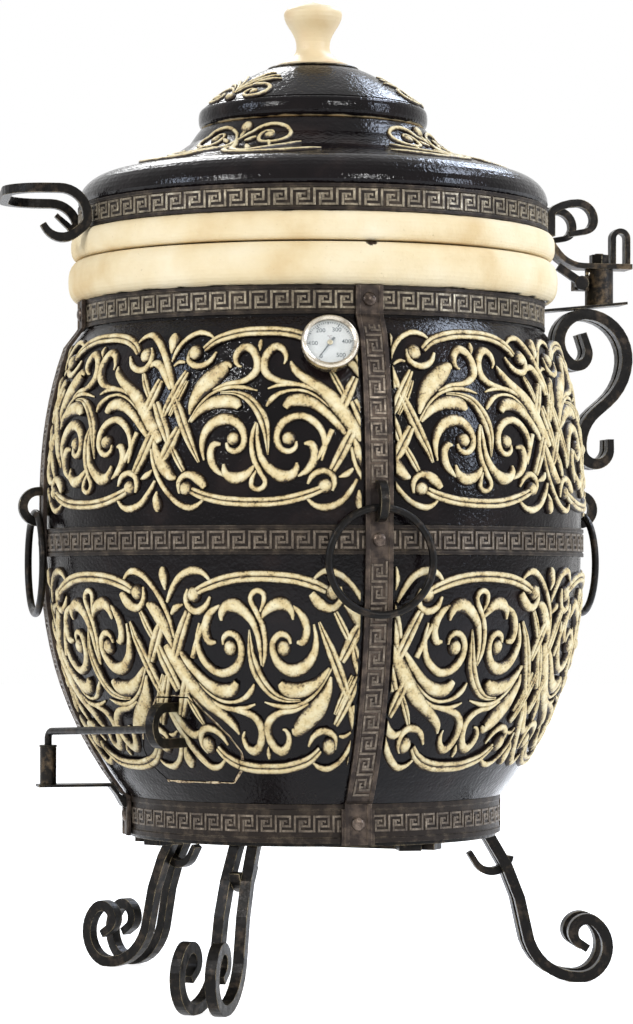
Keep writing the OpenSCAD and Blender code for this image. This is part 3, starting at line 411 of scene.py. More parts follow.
def add_ball(bm, crest, s, z, radius, place, relief=7.2):
    """Adds the round button at the heart of a curl: a squashed ball, half in the glaze."""
    made = bmesh.ops.create_uvsphere(bm, u_segments=16, v_segments=10, radius=1)["verts"]
    for vert in made:
        x, y, h = vert.co
        vert[crest] = max(0.0, h)
        vert.co = place(s + radius * x, z + radius * y, relief * h / 1000 if h > 0 else 0.0015 * h)


def new_piece(name, bm, material, body, smooth=True):
    bmesh.ops.recalc_face_normals(bm, faces=bm.faces)
    mesh = bpy.data.meshes.new(name)
    bm.to_mesh(mesh)
    bm.free()
    for face in mesh.polygons:
        face.use_smooth = smooth
    mesh.materials.append(material)
    piece = bpy.data.objects.new(name, mesh)
    scene.collection.objects.link(piece)
    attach(piece, body)
    return piece


print("barrel radius at the belly", barrel_radius(BELLY_Z))

# %% [markdown]
# One mould makes a panel of two spirals in an oval frame; a second makes the woven X that ties
# neighbouring panels. The figures are widths and places in millimetres, read off the barrel as if
# it were unrolled: s runs to the right and z is the height. The last word says if the strand has
# a groove along its back.

# %% The two moulds
R, G = ROUND, GROOVED
PANEL_S, WEAVE_S = 107, -2.5
panel_strands = [
    (G, [(43, 688, 7), (55, 697, 9), (70, 702, 10), (90, 705.5, 10), (110, 706, 10), (130, 705.5, 10),
         (150, 702, 10), (165, 695, 9), (173, 687, 7)]),
    (G, [(38, 541, 8), (50, 536, 9.5), (70, 531, 10), (90, 529, 10), (107, 528.5, 10), (125, 529, 10),
         (145, 532, 10), (165, 538, 9), (179, 544, 7)]),
    (R, [(32, 620, 3), (36, 634, 11), (45, 648, 18), (57, 659, 19), (67, 667, 15), (73, 671, 9),
         (76, 668, 3)]),
    (R, [(31, 612, 2.5), (45, 632, 3.5), (60, 643, 4), (76, 647.5, 4.5), (92, 647, 4.5),
         (107, 643.5, 1.5)]),
    (R, [(57, 645, 2.5), (72, 651, 4.5), (88, 653, 6), (98, 657, 7.5), (105, 665, 9), (105, 676, 9),
         (99, 686, 9), (90, 689.5, 9), (82.5, 684, 8), (80.5, 676, 6.5), (84, 670, 4), (88, 669, 2)]),
    (R, [(160, 647, 2.5), (146, 650.5, 4.5), (132, 653, 6), (121, 657, 7.5), (114, 665, 9),
         (113.5, 676, 9), (119, 686, 9), (127, 689.5, 8.5), (134.5, 685, 7), (137, 677, 5),
         (134.5, 671, 2)]),
    (R, [(118, 645.5, 2), (130, 649, 4.5), (147, 650, 5), (163, 646.5, 5), (178, 637.5, 4.5),
         (191, 623, 3)]),
    (R, [(108, 697, 3), (107.5, 692, 6), (107.5, 688, 4), (107, 685, 1)]),
    (R, [(51, 572, 2.5), (48.5, 586, 6), (51, 599, 9), (58.5, 609, 11), (69, 614, 12), (80, 613.5, 11),
         (89.5, 607, 9), (94.5, 597, 7.5), (93.5, 587, 7), (86, 581, 6.5), (78, 583.5, 5.5),
         (75.5, 590, 3.5)]),
    (R, [(69, 588.5, 3), (62, 588, 8), (58.5, 580, 8), (60, 570, 8.5), (65.5, 561.5, 6.5),
         (73, 555.5, 2.5)]),
    (R, [(72.5, 568, 3), (75, 559, 8), (83, 553.5, 12), (93.5, 555, 11), (101.5, 561, 7),
         (106, 567, 2.5)]),
    (R, [(34, 612, 3), (45, 624, 9), (58, 631, 13), (72, 633, 14), (83, 631, 13), (88, 626, 7)]),
    (G, [(66, 642, 2.5), (82, 641.5, 4.5), (96, 636.5, 8), (107, 626, 10), (114.5, 613, 11),
         (118, 600, 8), (119, 588, 5), (119.5, 577, 1.5)]),
    (R, [(106.5, 611, 2), (103.5, 600, 5), (102.5, 587, 5.5), (105, 573, 6), (111, 561, 6),
         (117, 550.5, 5.5), (115, 544, 5.5), (109, 541.5, 5.5), (103, 545, 5.5), (103.5, 553, 5),
         (107.5, 561, 2.5)]),
    (R, [(108, 610, 2), (108.5, 596, 5), (110.5, 582, 6), (115, 570.5, 8), (123.5, 561, 10.5),
         (134, 555, 13), (144, 556.5, 10.5), (149, 563, 7), (149.5, 569, 3)]),
    (R, [(175, 571, 2.5), (178.5, 587, 6), (175.5, 601, 7), (168, 610.5, 8), (157.5, 616.5, 8),
         (147, 616.5, 8), (136.5, 611.5, 8.5), (130, 602.5, 8), (129, 591.5, 7.5), (133.5, 583, 6.5),
         (141.5, 580.5, 6), (148, 584.5, 5), (149, 591, 3)]),
    (R, [(157, 588.5, 3), (164.5, 588, 8), (168, 579, 8.5), (166, 569, 9), (159.5, 560.5, 7),
         (150.5, 555, 2.5)]),
    (R, [(137, 625.5, 7), (143, 632, 12), (155, 633.5, 13), (168, 629, 11), (180, 620, 9), (192, 608, 8),
         (200, 598, 5)]),
    (R, [(117, 627, 3), (122, 634, 6), (130, 640, 5), (142, 643.5, 3.5), (156, 643, 3.5), (170, 637, 3),
         (186, 624, 2)]),
    (R, [(142, 674, 2.5), (146, 666, 8), (157, 656.5, 10), (170, 648, 12), (183, 638, 15),
         (194, 625, 16), (204, 611, 15), (212, 600, 12), (217, 592, 8)]),
    (R, [(186, 603, 6), (178, 586, 6), (170, 573, 5.5), (160, 562, 3)]),
]
panel_balls = [(83, 594, 7.8), (141, 594, 7.8)]
weave_strands = [
    (R, [(-52, 698, 3), (-43, 704, 5), (-31, 705.5, 7), (-20, 698.5, 8), (-10, 687, 8), (-2, 674, 8),
         (5, 660, 8), (10, 647, 5)]),
    (R, [(-28, 671, 3), (-18, 675, 8), (-9, 670, 9), (-1, 659, 8), (6, 647, 5)]),
    (G, [(11, 641, 6), (17, 629, 10), (24, 614, 11), (32, 597, 10), (39, 583, 7), (45, 570, 3)]),
    (G, [(25, 665, 6), (18, 653, 9), (11, 640, 10), (5, 628, 9), (1, 619, 5)]),
    (G, [(26, 655, 4), (21, 644, 6), (15, 632, 6), (8, 619, 4)]),
    (G, [(-7, 657, 8), (-13, 645, 11), (-19, 632, 11), (-25, 619, 8)]),
    (G, [(-34, 665, 4), (-28, 654, 7), (-21, 641, 6), (-16, 630, 3)]),
    (G, [(-10, 633, 9), (-3, 618, 12), (4, 604, 11), (8, 592, 6)]),
    (G, [(-8, 608, 8), (-16, 593, 11), (-24, 577, 11), (-33, 561, 8)]),
    (G, [(21, 606, 8), (13, 592, 12), (7, 581, 12), (2, 573, 8)]),
    (G, [(14, 585, 6), (21, 573, 7), (28, 561, 5)]),
    (R, [(-13, 585, 4), (-9, 568, 5), (-1, 552, 5.5), (9, 539, 5.5), (21, 528.5, 6), (34, 523.5, 7),
         (44, 526, 5), (51, 532, 2.5)]),
    (R, [(-10, 594, 4), (-5, 580, 10), (3, 567, 14), (12, 557, 11), (19, 554, 4)]),
    (R, [(-59, 533, 3), (-51, 525.5, 5.5), (-39, 523, 8), (-25, 528, 7), (-14.5, 539.5, 6),
         (-7, 552, 3.5)]),
    (R, [(-3.5, 519.5, 4), (-3.5, 526, 10), (-5, 533, 8), (-5, 541, 2)]),
    (R, [(1, 706.5, 5), (1, 700, 14), (1, 692, 9), (0, 685, 2.5)]),
    (R, [(-26, 554, 2), (-18, 557, 7), (-11, 563, 3)]),
    (R, [(6, 671.5, 2.5), (13, 675.5, 4.5), (20, 675, 2.5)]),
    (R, [(3, 676, 3), (8, 689, 5.5), (18, 700, 5.5), (32, 706, 6), (45, 704, 5), (53, 699, 2)]),
    (R, [(24, 688, 3), (24.5, 677, 6), (33, 671, 7), (43, 671, 7), (51.5, 676, 6), (57, 685, 3)]),
    (R, [(-60, 684, 3), (-54, 675, 6), (-45, 669.5, 7), (-34, 669, 7.5), (-27, 675, 7),
         (-25.5, 684.5, 6), (-30, 692, 3)]),
    (R, [(-58, 547, 3), (-52, 556.5, 6.5), (-42, 560.5, 7), (-33, 556.5, 6.5), (-30.5, 548, 6),
         (-33, 540, 3.5)]),
    (R, [(23, 538, 3), (22.5, 549, 6), (28.5, 556.5, 7), (37, 557, 9), (46, 552, 11), (53, 544, 7)]),
]
weave_balls = [(31.5, 685, 8.8), (-34, 684.5, 8.8), (-40, 545, 8.3), (31, 543, 7.8)]
print(len(panel_strands), "strands in a panel,", len(weave_strands), "in a weave")

# %% [markdown]
# The potter used the same moulds for the lower row, turned upside down and stretched a little.
# The relief stops short of each strap, so a panel that runs under one is trimmed with a wire: a
# bisect that drops what lies beyond the cut, and closes it.

# %% Lay the moulds round the barrel
STRAPS = (13, 103, 193, -77)
MM_PER_DEGREE = BELLY_R * 1000 * math.pi / 180
ROW_FOOT, LOWER_TOP, LOWER_STRETCH = 520, 462, 1.13
STRAP_MARGIN = 18.5


def trim(bm, point, normal):
    """Keeps the side that the normal points away from, and closes the cut."""
    faces = bm.verts[:] + bm.edges[:] + bm.faces[:]
    cut = bmesh.ops.bisect_plane(bm, geom=faces, dist=1e-6, plane_co=point, plane_no=normal,
                                 clear_outer=True)
    rim = [e for e in cut["geom_cut"] if isinstance(e, bmesh.types.BMEdge) and e.is_boundary]
    if rim:
        bmesh.ops.holes_fill(bm, edges=rim, sides=0)


def move_into(bm, part):
    """Adds one finished casting to the row; a small bmesh of its own is much quicker to shape."""
    mesh = bpy.data.meshes.new("casting")
    part.to_mesh(mesh)
    part.free()
    bm.from_mesh(mesh)
    bpy.data.meshes.remove(mesh)


def relief_row(quarter, lower):
    """One row of relief between two straps, as a bmesh with its crest layer."""
    middle = STRAPS[0] + 45 + 90 * quarter
    bm, _ = crested()
    for strands, balls, home, spots in (
            (panel_strands, panel_balls, PANEL_S, (-112, PANEL_S)),
            (weave_strands, weave_balls, WEAVE_S, (-221, WEAVE_S, 216))):
        for spot in spots:
            def place(s, z, height, spot=spot, home=home):
                u = s - home
                if lower:
                    u, z = 4 - u, LOWER_TOP - (z - ROW_FOOT) * LOWER_STRETCH
                return barrel_point(middle + (spot + u) / MM_PER_DEGREE, z / 1000, height)
            one, crest = crested()
            for section, knots in strands:
                add_strand(one, crest, knots, section, place)
            for ball in balls:
                add_ball(one, crest, *ball, place)
            move_into(bm, one)
    for side in (-1, 1):
        turn = math.radians(middle + side * 45)
        along = Vector((math.cos(turn), math.sin(turn), 0)) * side
        trim(bm, around(turn) * BELLY_R - along * STRAP_MARGIN / 1000, along)
    return bm


cream, tree, shader, place = new_material("cream_slip_with_brown_wash_and_painted_shade", {"Specular IOR Level": 0.35})
level = add(tree, "Attribute", attribute_name="crest").outputs["Fac"]
patch = add(tree, "TexNoise", {"Vector": place, "Scale": per_mm(12), "Detail": 6.0, "Roughness": 0.65})
fleck = add(tree, "TexNoise", {"Vector": place, "Scale": per_mm(2.2), "Detail": 4.0})
slip = add(tree, "ValToRGB", {"Fac": patch}, [(0.3, "#b89c68"), (0.48, "#dac694"), (0.66, "#ebdfb8")])
dots = add(tree, "MapRange", {"Value": fleck, "From Min": 0.6, "From Max": 0.74, "To Max": 0.7})
freckled = add(tree, "Mix", {0: dots, 6: slip, 7: linear("#7d5f3c")}, data_type="RGBA")
# Dark towards each strand's foot and in its groove: partly brown wash, partly painted shade.
wash_and_painted_shade = add(tree, "MapRange", {"Value": level, "From Min": 0.3, "From Max": 1.0, "To Min": 1.15,
                              "To Max": 0.0})
# Brown on the flanks, light on the crests: partly stain, partly painted shade.
stain_and_painted_shade = add(tree, "MapRange", {"Value": level, "From Min": 0.45, "From Max": 0.97, "To Min": 0.85,
                               "To Max": 0.0})
freckled = add(tree, "Mix", {0: stain_and_painted_shade, 6: freckled, 7: linear("#80653b")}, data_type="RGBA")
uneven = add(tree, "MapRange", {"Value": patch, "From Min": 0.35, "From Max": 0.65, "To Min": 0.28,
                                "To Max": -0.28})
washed_and_painted_shade = add(tree, "Math", {0: wash_and_painted_shade, 1: uneven})
grainy = add(tree, "MapRange", {"Value": fleck, "From Min": 0.35, "From Max": 0.65, "To Min": -0.25,
                                "To Max": 0.25})
washed_and_painted_shade = add(tree, "Math", {0: washed_and_painted_shade, 1: grainy})
washed_and_painted_shade = add(tree, "MapRange", {"Value": washed_and_painted_shade, "From Min": 0.3, "From Max": 0.8})
# Near-black at each strand's foot and in its groove: painted shade mixed with the wash.
color = add(tree, "Mix", {0: washed_and_painted_shade, 6: freckled, 7: linear("#24190f")}, data_type="RGBA")
gloss = add(tree, "MapRange", {"Value": patch, "From Min": 0.3, "From Max": 0.7, "To Min": 0.4,
                               "To Max": 0.6})
dabs = add(tree, "Bump", {"Height": patch, "Distance": 0.0012, "Strength": 0.4})
sanded = add(tree, "Bump", {"Height": fleck, "Distance": 0.0003, "Strength": 0.4, "Normal": dabs})
feed(tree, shader, {"Base Color": color, "Roughness": gloss, "Normal": sanded})

# The door's outline on the glaze, as flat cuts: a point and the outward direction of each side
DOOR_AZ, DOOR_MIDDLE = math.radians(-32.4), 0.283
door_out = around(DOOR_AZ)
door_side = Vector((math.cos(DOOR_AZ), math.sin(DOOR_AZ), 0))
DOOR_CORNERS = [(-0.041, 0.2369), (0.041, 0.2369), (0.0578, 0.2535), (0.0611, 0.269), (0.0535, 0.2865),
                (0.02, 0.3263), (-0.02, 0.3263), (-0.0535, 0.2865), (-0.0611, 0.269), (-0.0578, 0.2535)]


def door_cuts(grow):
    cuts = []
    for (x1, z1), (x2, z2) in zip(DOOR_CORNERS, DOOR_CORNERS[1:] + DOOR_CORNERS[:1]):
        along = door_side * (x2 - x1) + Vector((0, 0, z2 - z1))
        outward = along.cross(door_out).normalized()
        if outward.dot(door_side * x1 + Vector((0, 0, z1 - DOOR_MIDDLE))) < 0:
            outward.negate()
        cuts.append((door_side * x1 + Vector((0, 0, z1)) + outward * grow, outward))
    return cuts


for quarter, quarter_name in enumerate(("right", "rear_right", "rear_left", "left")):
    for lower in (False, True):
        bm = relief_row(quarter, lower)
        row = "lower" if lower else "upper"
        if lower and quarter_name == "left":
            on_door = bm.copy()
            for point, outward in door_cuts(-0.0008):
                trim(on_door, point, outward)
            new_piece("relief_on_door", on_door, cream, "ash_door")
            rest, (bm, _) = bm, crested()
            for point, outward in door_cuts(0.0008):
                outside = rest.copy()
                trim(outside, point, -outward)
                move_into(bm, outside)
                trim(rest, point, outward)
            rest.free()
        piece = new_piece(f"relief_{quarter_name}_{row}", bm, cream, "oven")
        print(piece.name, len(piece.data.polygons), "faces")

# %% [markdown]
# The lid carries four smaller castings of its own: two curls back to back with a drop between
# them and long leaves that sweep out over the shoulder. Its cap carries three of the same kind the
# other way up, unevenly spaced. Places along a slope are measured up from its foot, and places
# round it as millimetres at a fixed radius, 150 on the lid and 100 on the cap, from the casting's
# own middle.

# %% The lid's own relief
BELL = [(0.8969, 0.2234), (0.9033, 0.2051), (0.9111, 0.172), (0.9143, 0.163), (0.921, 0.152),
        (0.9309, 0.138), (0.9364, 0.1343), (0.9418, 0.1305), (0.947, 0.1265)]
CAP = [(0.971, 0.123), (0.9724, 0.1213), (0.9832, 0.107), (0.9933, 0.0928), (1.0023, 0.0785),
       (1.0101, 0.0643), (1.0154, 0.051)]
bell_strands = [
    (R, [(3, 79, 4), (9, 90, 6), (18, 98, 6.5), (30, 102.5, 7), (43, 102, 7), (54, 97, 7), (59, 87, 7),
         (57, 77, 7), (50, 69, 7), (40, 65.5, 7), (30, 68, 7), (25, 76, 6.5), (25, 86, 6), (30, 92, 5.5),
         (37, 91, 5), (40, 84, 3)]),
    (R, [(38, 68, 6), (41, 60, 5), (43, 50, 1.5)]),
    (R, [(11, 71, 4), (15, 76, 9), (21, 80, 4)]),
    (R, [(-3, 79, 4), (1, 70, 8), (6, 55, 9), (13, 36, 9), (20, 20, 9), (30, 11, 9), (42, 20, 10),
         (52, 42, 9), (62, 56, 7), (72, 66, 2)]),
    (R, [(4, 52, 4), (9, 30, 7), (16, 12, 8), (30, 5, 8), (50, 5, 8), (66, 9, 8), (80, 14, 5),
         (90, 19, 2)]),
    (R, [(17, 60, 3), (22, 50, 7), (28, 34, 7), (31, 20, 4)]),
    (G, [(0, 94, 5), (0, 88, 6), (0, 82, 2)]),
]
bell_balls = [(35.5, 83, 7.0)]
cap_strands = [
    (R, [(3, 16, 3), (12, 25, 5), (24, 29, 6), (36, 27, 6.5), (43, 19, 6.5), (41, 10, 6.5), (33, 4, 6),
         (22, 4, 5.5), (17, 11, 5), (21, 18, 4), (28, 17, 2.5)]),
    (R, [(-2, 14, 3), (4, 26, 6), (16, 38, 7), (30, 45, 6), (44, 49, 2)]),
    (R, [(0, 22, 3), (6, 38, 6), (18, 51, 7), (32, 58, 2)]),
    (R, [(14, 29, 2), (24, 36, 5), (38, 39, 5), (50, 39, 2)]),
]
cap_balls = [(28, 12, 5.5)]


def slope_point(profile, azimuth, up, height):
    """A point on a turned slope: up along it in mm from its foot, and off it by height (m)."""
    up = max(up, 0) / 1000
    for (z1, r1), (z2, r2) in zip(profile, profile[1:]):
        run = math.hypot(z2 - z1, r2 - r1)
        if up <= run or z2 == profile[-1][0]:
            share = up / run
            z, r = z1 + (z2 - z1) * share, r1 + (r2 - r1) * share
            r, z = r + (z2 - z1) / run * height, z - (r2 - r1) / run * height
            return around(math.radians(azimuth), r, z)
        up -= run


def casting_ring(name, profile, strands, balls, drop, azimuths, radius, body):
    """Castings round the lid, each made of one half, its mirror image and a drop between them."""
    bm, _ = crested()
    for middle in azimuths:
        one, crest = crested()
        for side in (1, -1):
            def place(s, up, height, middle=middle, side=side):
                return slope_point(profile, middle + math.degrees(side * s / radius), up, height)
            for section, knots in strands:
                thin = [(s, up, width * 0.74) for s, up, width in knots]
                add_strand(one, crest, thin, section, place, relief=2.8)
            for ball in balls:
                add_ball(one, crest, *ball, place, relief=3.8)
        add_ball(one, crest, *drop, place, relief=4.5)
        move_into(bm, one)
    piece = new_piece(name, bm, cream, body)
    print(name, len(piece.data.polygons), "faces")


casting_ring("relief_on_bell", BELL, bell_strands, bell_balls, (0, 101, 8.5), (-32, 58, 148, 238), 150,
             "lid")
casting_ring("relief_on_cap", CAP, cap_strands, cap_balls, (0, 7, 6.5), (-50, 86, 198), 100, "small_lid")

# %% [markdown]
# The ash door was cut out of the wet barrel with a wire, so the glaze broke away along the cut
# and the pale clay shows there as a thin chipped line. It's laid along the door's outline on the
# barrel, broad where more glaze fell off and nearly nothing where it held.

# %% The chipped edge round the ash door
random.seed(7)
bm, crest = crested()


def beside_door(s, z, height):
    across = math.asin(max(-1, min(1, s / 1000 / barrel_radius(z / 1000))))
    return barrel_point(math.degrees(DOOR_AZ + across), z / 1000, height)


ring = []
for (x1, z1), (x2, z2) in zip(DOOR_CORNERS, DOOR_CORNERS[1:] + DOOR_CORNERS[:1]):
    pieces = max(2, round(math.hypot(x2 - x1, z2 - z1) / 0.007))
    for i in range(pieces):
        x, z = x1 + (x2 - x1) * i / pieces, z1 + (z2 - z1) * i / pieces
        off = Vector((x, z - DOOR_MIDDLE)).normalized() * 1.6
        broad = 2.0 if z < 0.262 else 1.1
        across, up = (v + random.uniform(-0.3, 0.3) for v in (x * 1000 + off.x, z * 1000 + off.y))
        ring.append((across, up, random.choice((0.5, 1.0, 1.3)) * broad))
add_strand(bm, crest, ring[:-6], ROUND, beside_door, relief=0.8)

bare_edge, tree, shader, place = new_material("bare_clay_at_a_chipped_edge", {"Roughness": 0.8})
grit = add(tree, "TexNoise", {"Vector": place, "Scale": per_mm(3), "Detail": 4.0})
color = add(tree, "ValToRGB", {"Fac": grit}, [(0.36, "#4a3a2b"), (0.5, "#bfa680"), (0.64, "#dccaa6")])
rough_clay = add(tree, "Bump", {"Height": grit, "Distance": 0.0006, "Strength": 0.6})
feed(tree, shader, {"Base Color": color, "Normal": rough_clay})
new_piece("chipped_edge", bm, bare_edge, "oven")
print("edge of", len(ring), "points")

# %% [markdown]
# The key pattern on the hoops and straps is pressed into the sheet by a roller, so one unit
# repeats all the way round. Each unit is a square spiral of flat bars. The bars stand half a
# millimetre proud and carry the bronze rub, which is browner on the straps. The same darker,
# browner copy on the middle and bottom hoops is painted shade.


# %% Key pattern
def rubbed_key(name, low, middle, high):
    material, tree, shader, place = new_material(name, {"Metallic": 0.5})
    rub = add(tree, "TexNoise", {"Vector": place, "Scale": per_mm(9), "Detail": 6.0, "Roughness": 0.7})
    color = add(tree, "ValToRGB", {"Fac": rub}, [(0.3, low), (0.52, middle), (0.7, high)])
    gloss = add(tree, "MapRange", {"Value": rub, "From Min": 0.3, "From Max": 0.7, "To Min": 0.55,
                                   "To Max": 0.34})
    rounded = add(tree, "Bevel", {"Radius": 0.0004}, samples=4)
    dull = add(tree, "Bump", {"Height": rub, "Distance": 0.0003, "Strength": 0.5, "Normal": rounded})
    feed(tree, shader, {"Base Color": color, "Roughness": gloss, "Normal": dull})
    return material


key_bronze = rubbed_key("rubbed_bronze_key", "#3e372d", "#766b59", "#a69b84")
# A darker copy: browner rub on the straps, painted shade on the middle and bottom hoops.
key_brown_and_shaded = rubbed_key("rubbed_brown_and_shaded_key", "#342b25", "#5f5447", "#887b6b")

# Outer radii of the hoops, and how deep the pressed band lies under each hoop's border
TOP_HOOP_R, MIDDLE_HOOP_R, BOTTOM_HOOP_R, LID_HOOP_R, RECESS = 0.2575, 0.3003, 0.2078, 0.2611, 0.0012

# Bars of one unit on a square of 8 by 7 steps: x from, x to, y from, y to
KEY_BARS = [(0, 1, 0, 7), (1, 7, 6, 7), (6, 7, 2, 6), (3, 6, 2, 3), (3, 4, 3, 4.6), (4.6, 5.4, 3.8, 5),
            (2, 5.4, 4.2, 5), (2, 3, 0, 5), (3, 8, 0, 1)]


def key_band(name, count, low, high, place, body, material):
    """Units of the key pattern along a band; place(along 0 to 1, height, proud) gives points."""
    bm = bmesh.new()
    step_z = (high - low) / 7
    for k in range(count):
        for x1, x2, y1, y2 in KEY_BARS:
            for vert in bmesh.ops.create_cube(bm, size=1)["verts"]:
                top = vert.co.z > 0
                inset = 0.09 if top else 0
                x = x2 - inset if vert.co.x > 0 else x1 + inset
                y = y2 - inset if vert.co.y > 0 else y1 + inset
                vert.co = place((k + x / 8) / count, low + y * step_z, 0.0008 if top else -0.0004)
    piece = new_piece(name, bm, material, body, smooth=False)
    print(name, count, "units,", len(piece.data.polygons), "faces")


def round_band(radius):
    def place(along, z, proud):
        return around(along * 2 * math.pi, radius + proud, z)
    return place


# The middle and bottom hoops take the darker copy as painted shade.
for hoop, count, low, high, radius, body, finish in (
        ("top", 72, 0.7305, 0.7495, TOP_HOOP_R, "oven", key_bronze),
        ("middle", 84, 0.4805, 0.4995, MIDDLE_HOOP_R, "oven", key_brown_and_shaded),
        ("bottom", 64, 0.1835, 0.2015, BOTTOM_HOOP_R, "oven", key_brown_and_shaded),
        ("lid", 69, 0.8372, 0.8554, LID_HOOP_R, "lid", key_bronze)):
    key_band(f"key_{hoop}_hoop", count, low, high, round_band(radius - RECESS), body, finish)

# %% [markdown]
# The straps are rolled with the same wheel, then bent over the three hoops while hot, so the
# pattern follows the bend. It stops at each rivet and starts afresh on the other side.

# %% Key pattern on the straps
UNDER_STRAP_R, HOOP_HALF, HOOP_Z = 0.3000, 0.015, 0.49
FACE = 0.0003 + 0.0045 - 0.001  # seat, strap and the recess of its pattern
NECK_Z, TOP_BEND_Z = 0.704, 0.7225


def strap_face(z):
    """Radius of the recessed face of a strap, as the CAD bends it over the hoops."""
    if z > TOP_BEND_Z:
        return TOP_HOOP_R + FACE
    if z < FOOT_Z:
        return BOTTOM_HOOP_R + FACE
    over = UNDER_STRAP_R + FACE
    if abs(z - HOOP_Z) < HOOP_HALF + 0.005:
        return over
    if z > NECK_Z:
        low = over - SHOULDER_DROP
        return low + (z - NECK_Z) / (TOP_BEND_Z - NECK_Z) * (TOP_HOOP_R + FACE - low)
    return over - (BELLY_R - barrel_radius(z))


def strap_band(azimuth, z_low, z_high):
    a = math.radians(azimuth)
    side = Vector((math.cos(a), math.sin(a), 0))

    def place(along, across, proud):
        z = z_low + (z_high - z_low) * along
        return around(a) * (strap_face(z) + proud) - side * across + Vector((0, 0, z))
    return place


for side, azimuth in zip(sides, STRAPS):
    for part, count, z_low, z_high in (("upper", 8, 0.548, 0.722), ("lower", 11, 0.222, 0.468)):
        key_band(f"key_strap_{side}_{part}", count, -0.0088, 0.0088,
                 strap_band(azimuth, z_low, z_high), "oven", key_brown_and_shaded)

# %% [markdown]
# The thermometer's dial is printed: ticks round the edge and plain figures. Text becomes a mesh
# before it is put in place, because the export keeps meshes only. The dial faces the same way as
# the stem, square to the clay wall and tilted up.

# %% Dial print
DIAL_AZ, DIAL_TILT, DIAL_Z = math.radians(3.4), math.radians(21), 0.685
stem_dir = around(DIAL_AZ, math.cos(DIAL_TILT), math.sin(DIAL_TILT))
dial_right = Vector((math.cos(DIAL_AZ), math.sin(DIAL_AZ), 0))
dial_up = dial_right.cross(stem_dir) * -1
dial_root = around(DIAL_AZ, barrel_radius(DIAL_Z), DIAL_Z)
DIAL_FACE, INK_OFF = 0.0174, 0.00005
dial_frame = Matrix.Translation(dial_root + stem_dir * (DIAL_FACE + INK_OFF)) @ Matrix(
    (dial_right, dial_up, stem_dir)).transposed().to_4x4()
print("dial up", [round(v, 3) for v in dial_up])

bm = bmesh.new()
ZERO_AT, FULL_AT = -147, 140  # degrees from twelve o'clock
TICK_R, FIGURE_R, FIGURE_SIZE = 0.0245, 0.0172, 0.0066
for tick in range(51):
    angle = math.radians(ZERO_AT + (FULL_AT - ZERO_AT) * tick / 50)
    size = 0.004 if tick % 10 == 0 else 0.0028 if tick % 5 == 0 else 0.002
    made = bmesh.ops.create_cube(bm, size=1)["verts"]
    bmesh.ops.scale(bm, verts=made, vec=(0.0007 if tick % 5 else 0.0011, size, 0.00006))
    bmesh.ops.translate(bm, verts=made, vec=(0, TICK_R - size / 2, 0))
    bmesh.ops.rotate(bm, verts=made, cent=(0, 0, 0), matrix=Matrix.Rotation(-angle, 3, "Z"))
bmesh.ops.transform(bm, matrix=dial_frame, verts=bm.verts)
new_piece("dial_ticks", bm, black_ink, "oven", smooth=False)


def dial_text(name, words, x, y, size, material):
    """Printed figures: a text made a mesh, then placed on the dial by its points."""
    curve = bpy.data.curves.new(name, "FONT")
    curve.body, curve.size, curve.extrude = words, size, 0.00003
    curve.align_x, curve.align_y = "CENTER", "CENTER"
    curve.resolution_u, curve.offset = 3, 0.0001
    text = bpy.data.objects.new(name, curve)
    scene.collection.objects.link(text)
    bpy.context.view_layer.update()
    mesh = bpy.data.meshes.new_from_object(text)
    bpy.data.objects.remove(text)
    bm = bmesh.new()
    bm.from_mesh(mesh)
    bpy.data.meshes.remove(mesh)
    bmesh.ops.remove_doubles(bm, verts=bm.verts, dist=1e-7)
    bmesh.ops.translate(bm, verts=bm.verts, vec=(x, y, 0))
    bmesh.ops.transform(bm, matrix=dial_frame, verts=bm.verts)
    new_piece(name, bm, material, "oven", smooth=False)


for value in range(0, 501, 100):
    angle = math.radians(ZERO_AT + (FULL_AT - ZERO_AT) * value / 500)
    x, y = FIGURE_R * math.sin(angle), FIGURE_R * math.cos(angle)
    dial_text(f"dial_{value}", str(value), x, y, FIGURE_SIZE, black_ink)
dial_text("dial_unit", "°C", 0.0, 0.0072, 0.0046, red_ink)

# %% [markdown]
# The needle turns on a brass hub. Its tail is a broad counterweight, so the pointer balances
# and doesn't droop when the oven is knocked.

# %% Needle hub
brass, tree, shader, place = new_material("turned_brass", {"Metallic": 1.0, "Roughness": 0.3})
tarnish = add(tree, "TexNoise", {"Vector": place, "Scale": per_mm(3), "Detail": 4.0})
color = add(tree, "ValToRGB", {"Fac": tarnish}, [(0.3, "#b5a684"), (0.7, "#d9cdb0")])
worn = add(tree, "Bump", {"Height": tarnish, "Distance": 0.00003, "Strength": 0.2})
feed(tree, shader, {"Base Color": color, "Normal": worn})


def turned_stub(sides, low_r, high_r, length, edge, steps):
    """A short turned pin along Z, with its upper edge rounded over."""
    bm = bmesh.new()
    bmesh.ops.create_cone(bm, cap_ends=True, segments=sides, radius1=low_r, radius2=high_r, depth=length)
    rim = [e for e in bm.edges if all(v.co.z > 0 for v in e.verts)]
    bmesh.ops.bevel(bm, geom=rim, affect="EDGES", offset=edge, segments=steps, profile=0.5, material=-1)
    return bm


bm = turned_stub(40, 0.0031, 0.0026, 0.0006, edge=0.0002, steps=2)
bmesh.ops.translate(bm, verts=bm.verts, vec=(0, 0, 0.0031 + 0.0003))
bmesh.ops.transform(bm, matrix=dial_frame, verts=bm.verts)
new_piece("needle_hub", bm, brass, "needle")
print("dial printed")

# %% [markdown]
# A bright screw stands out of the hinge's barrel, just over the clamp's lug. It's a turned stub
# with a rounded end, set square to the barrel's wall.

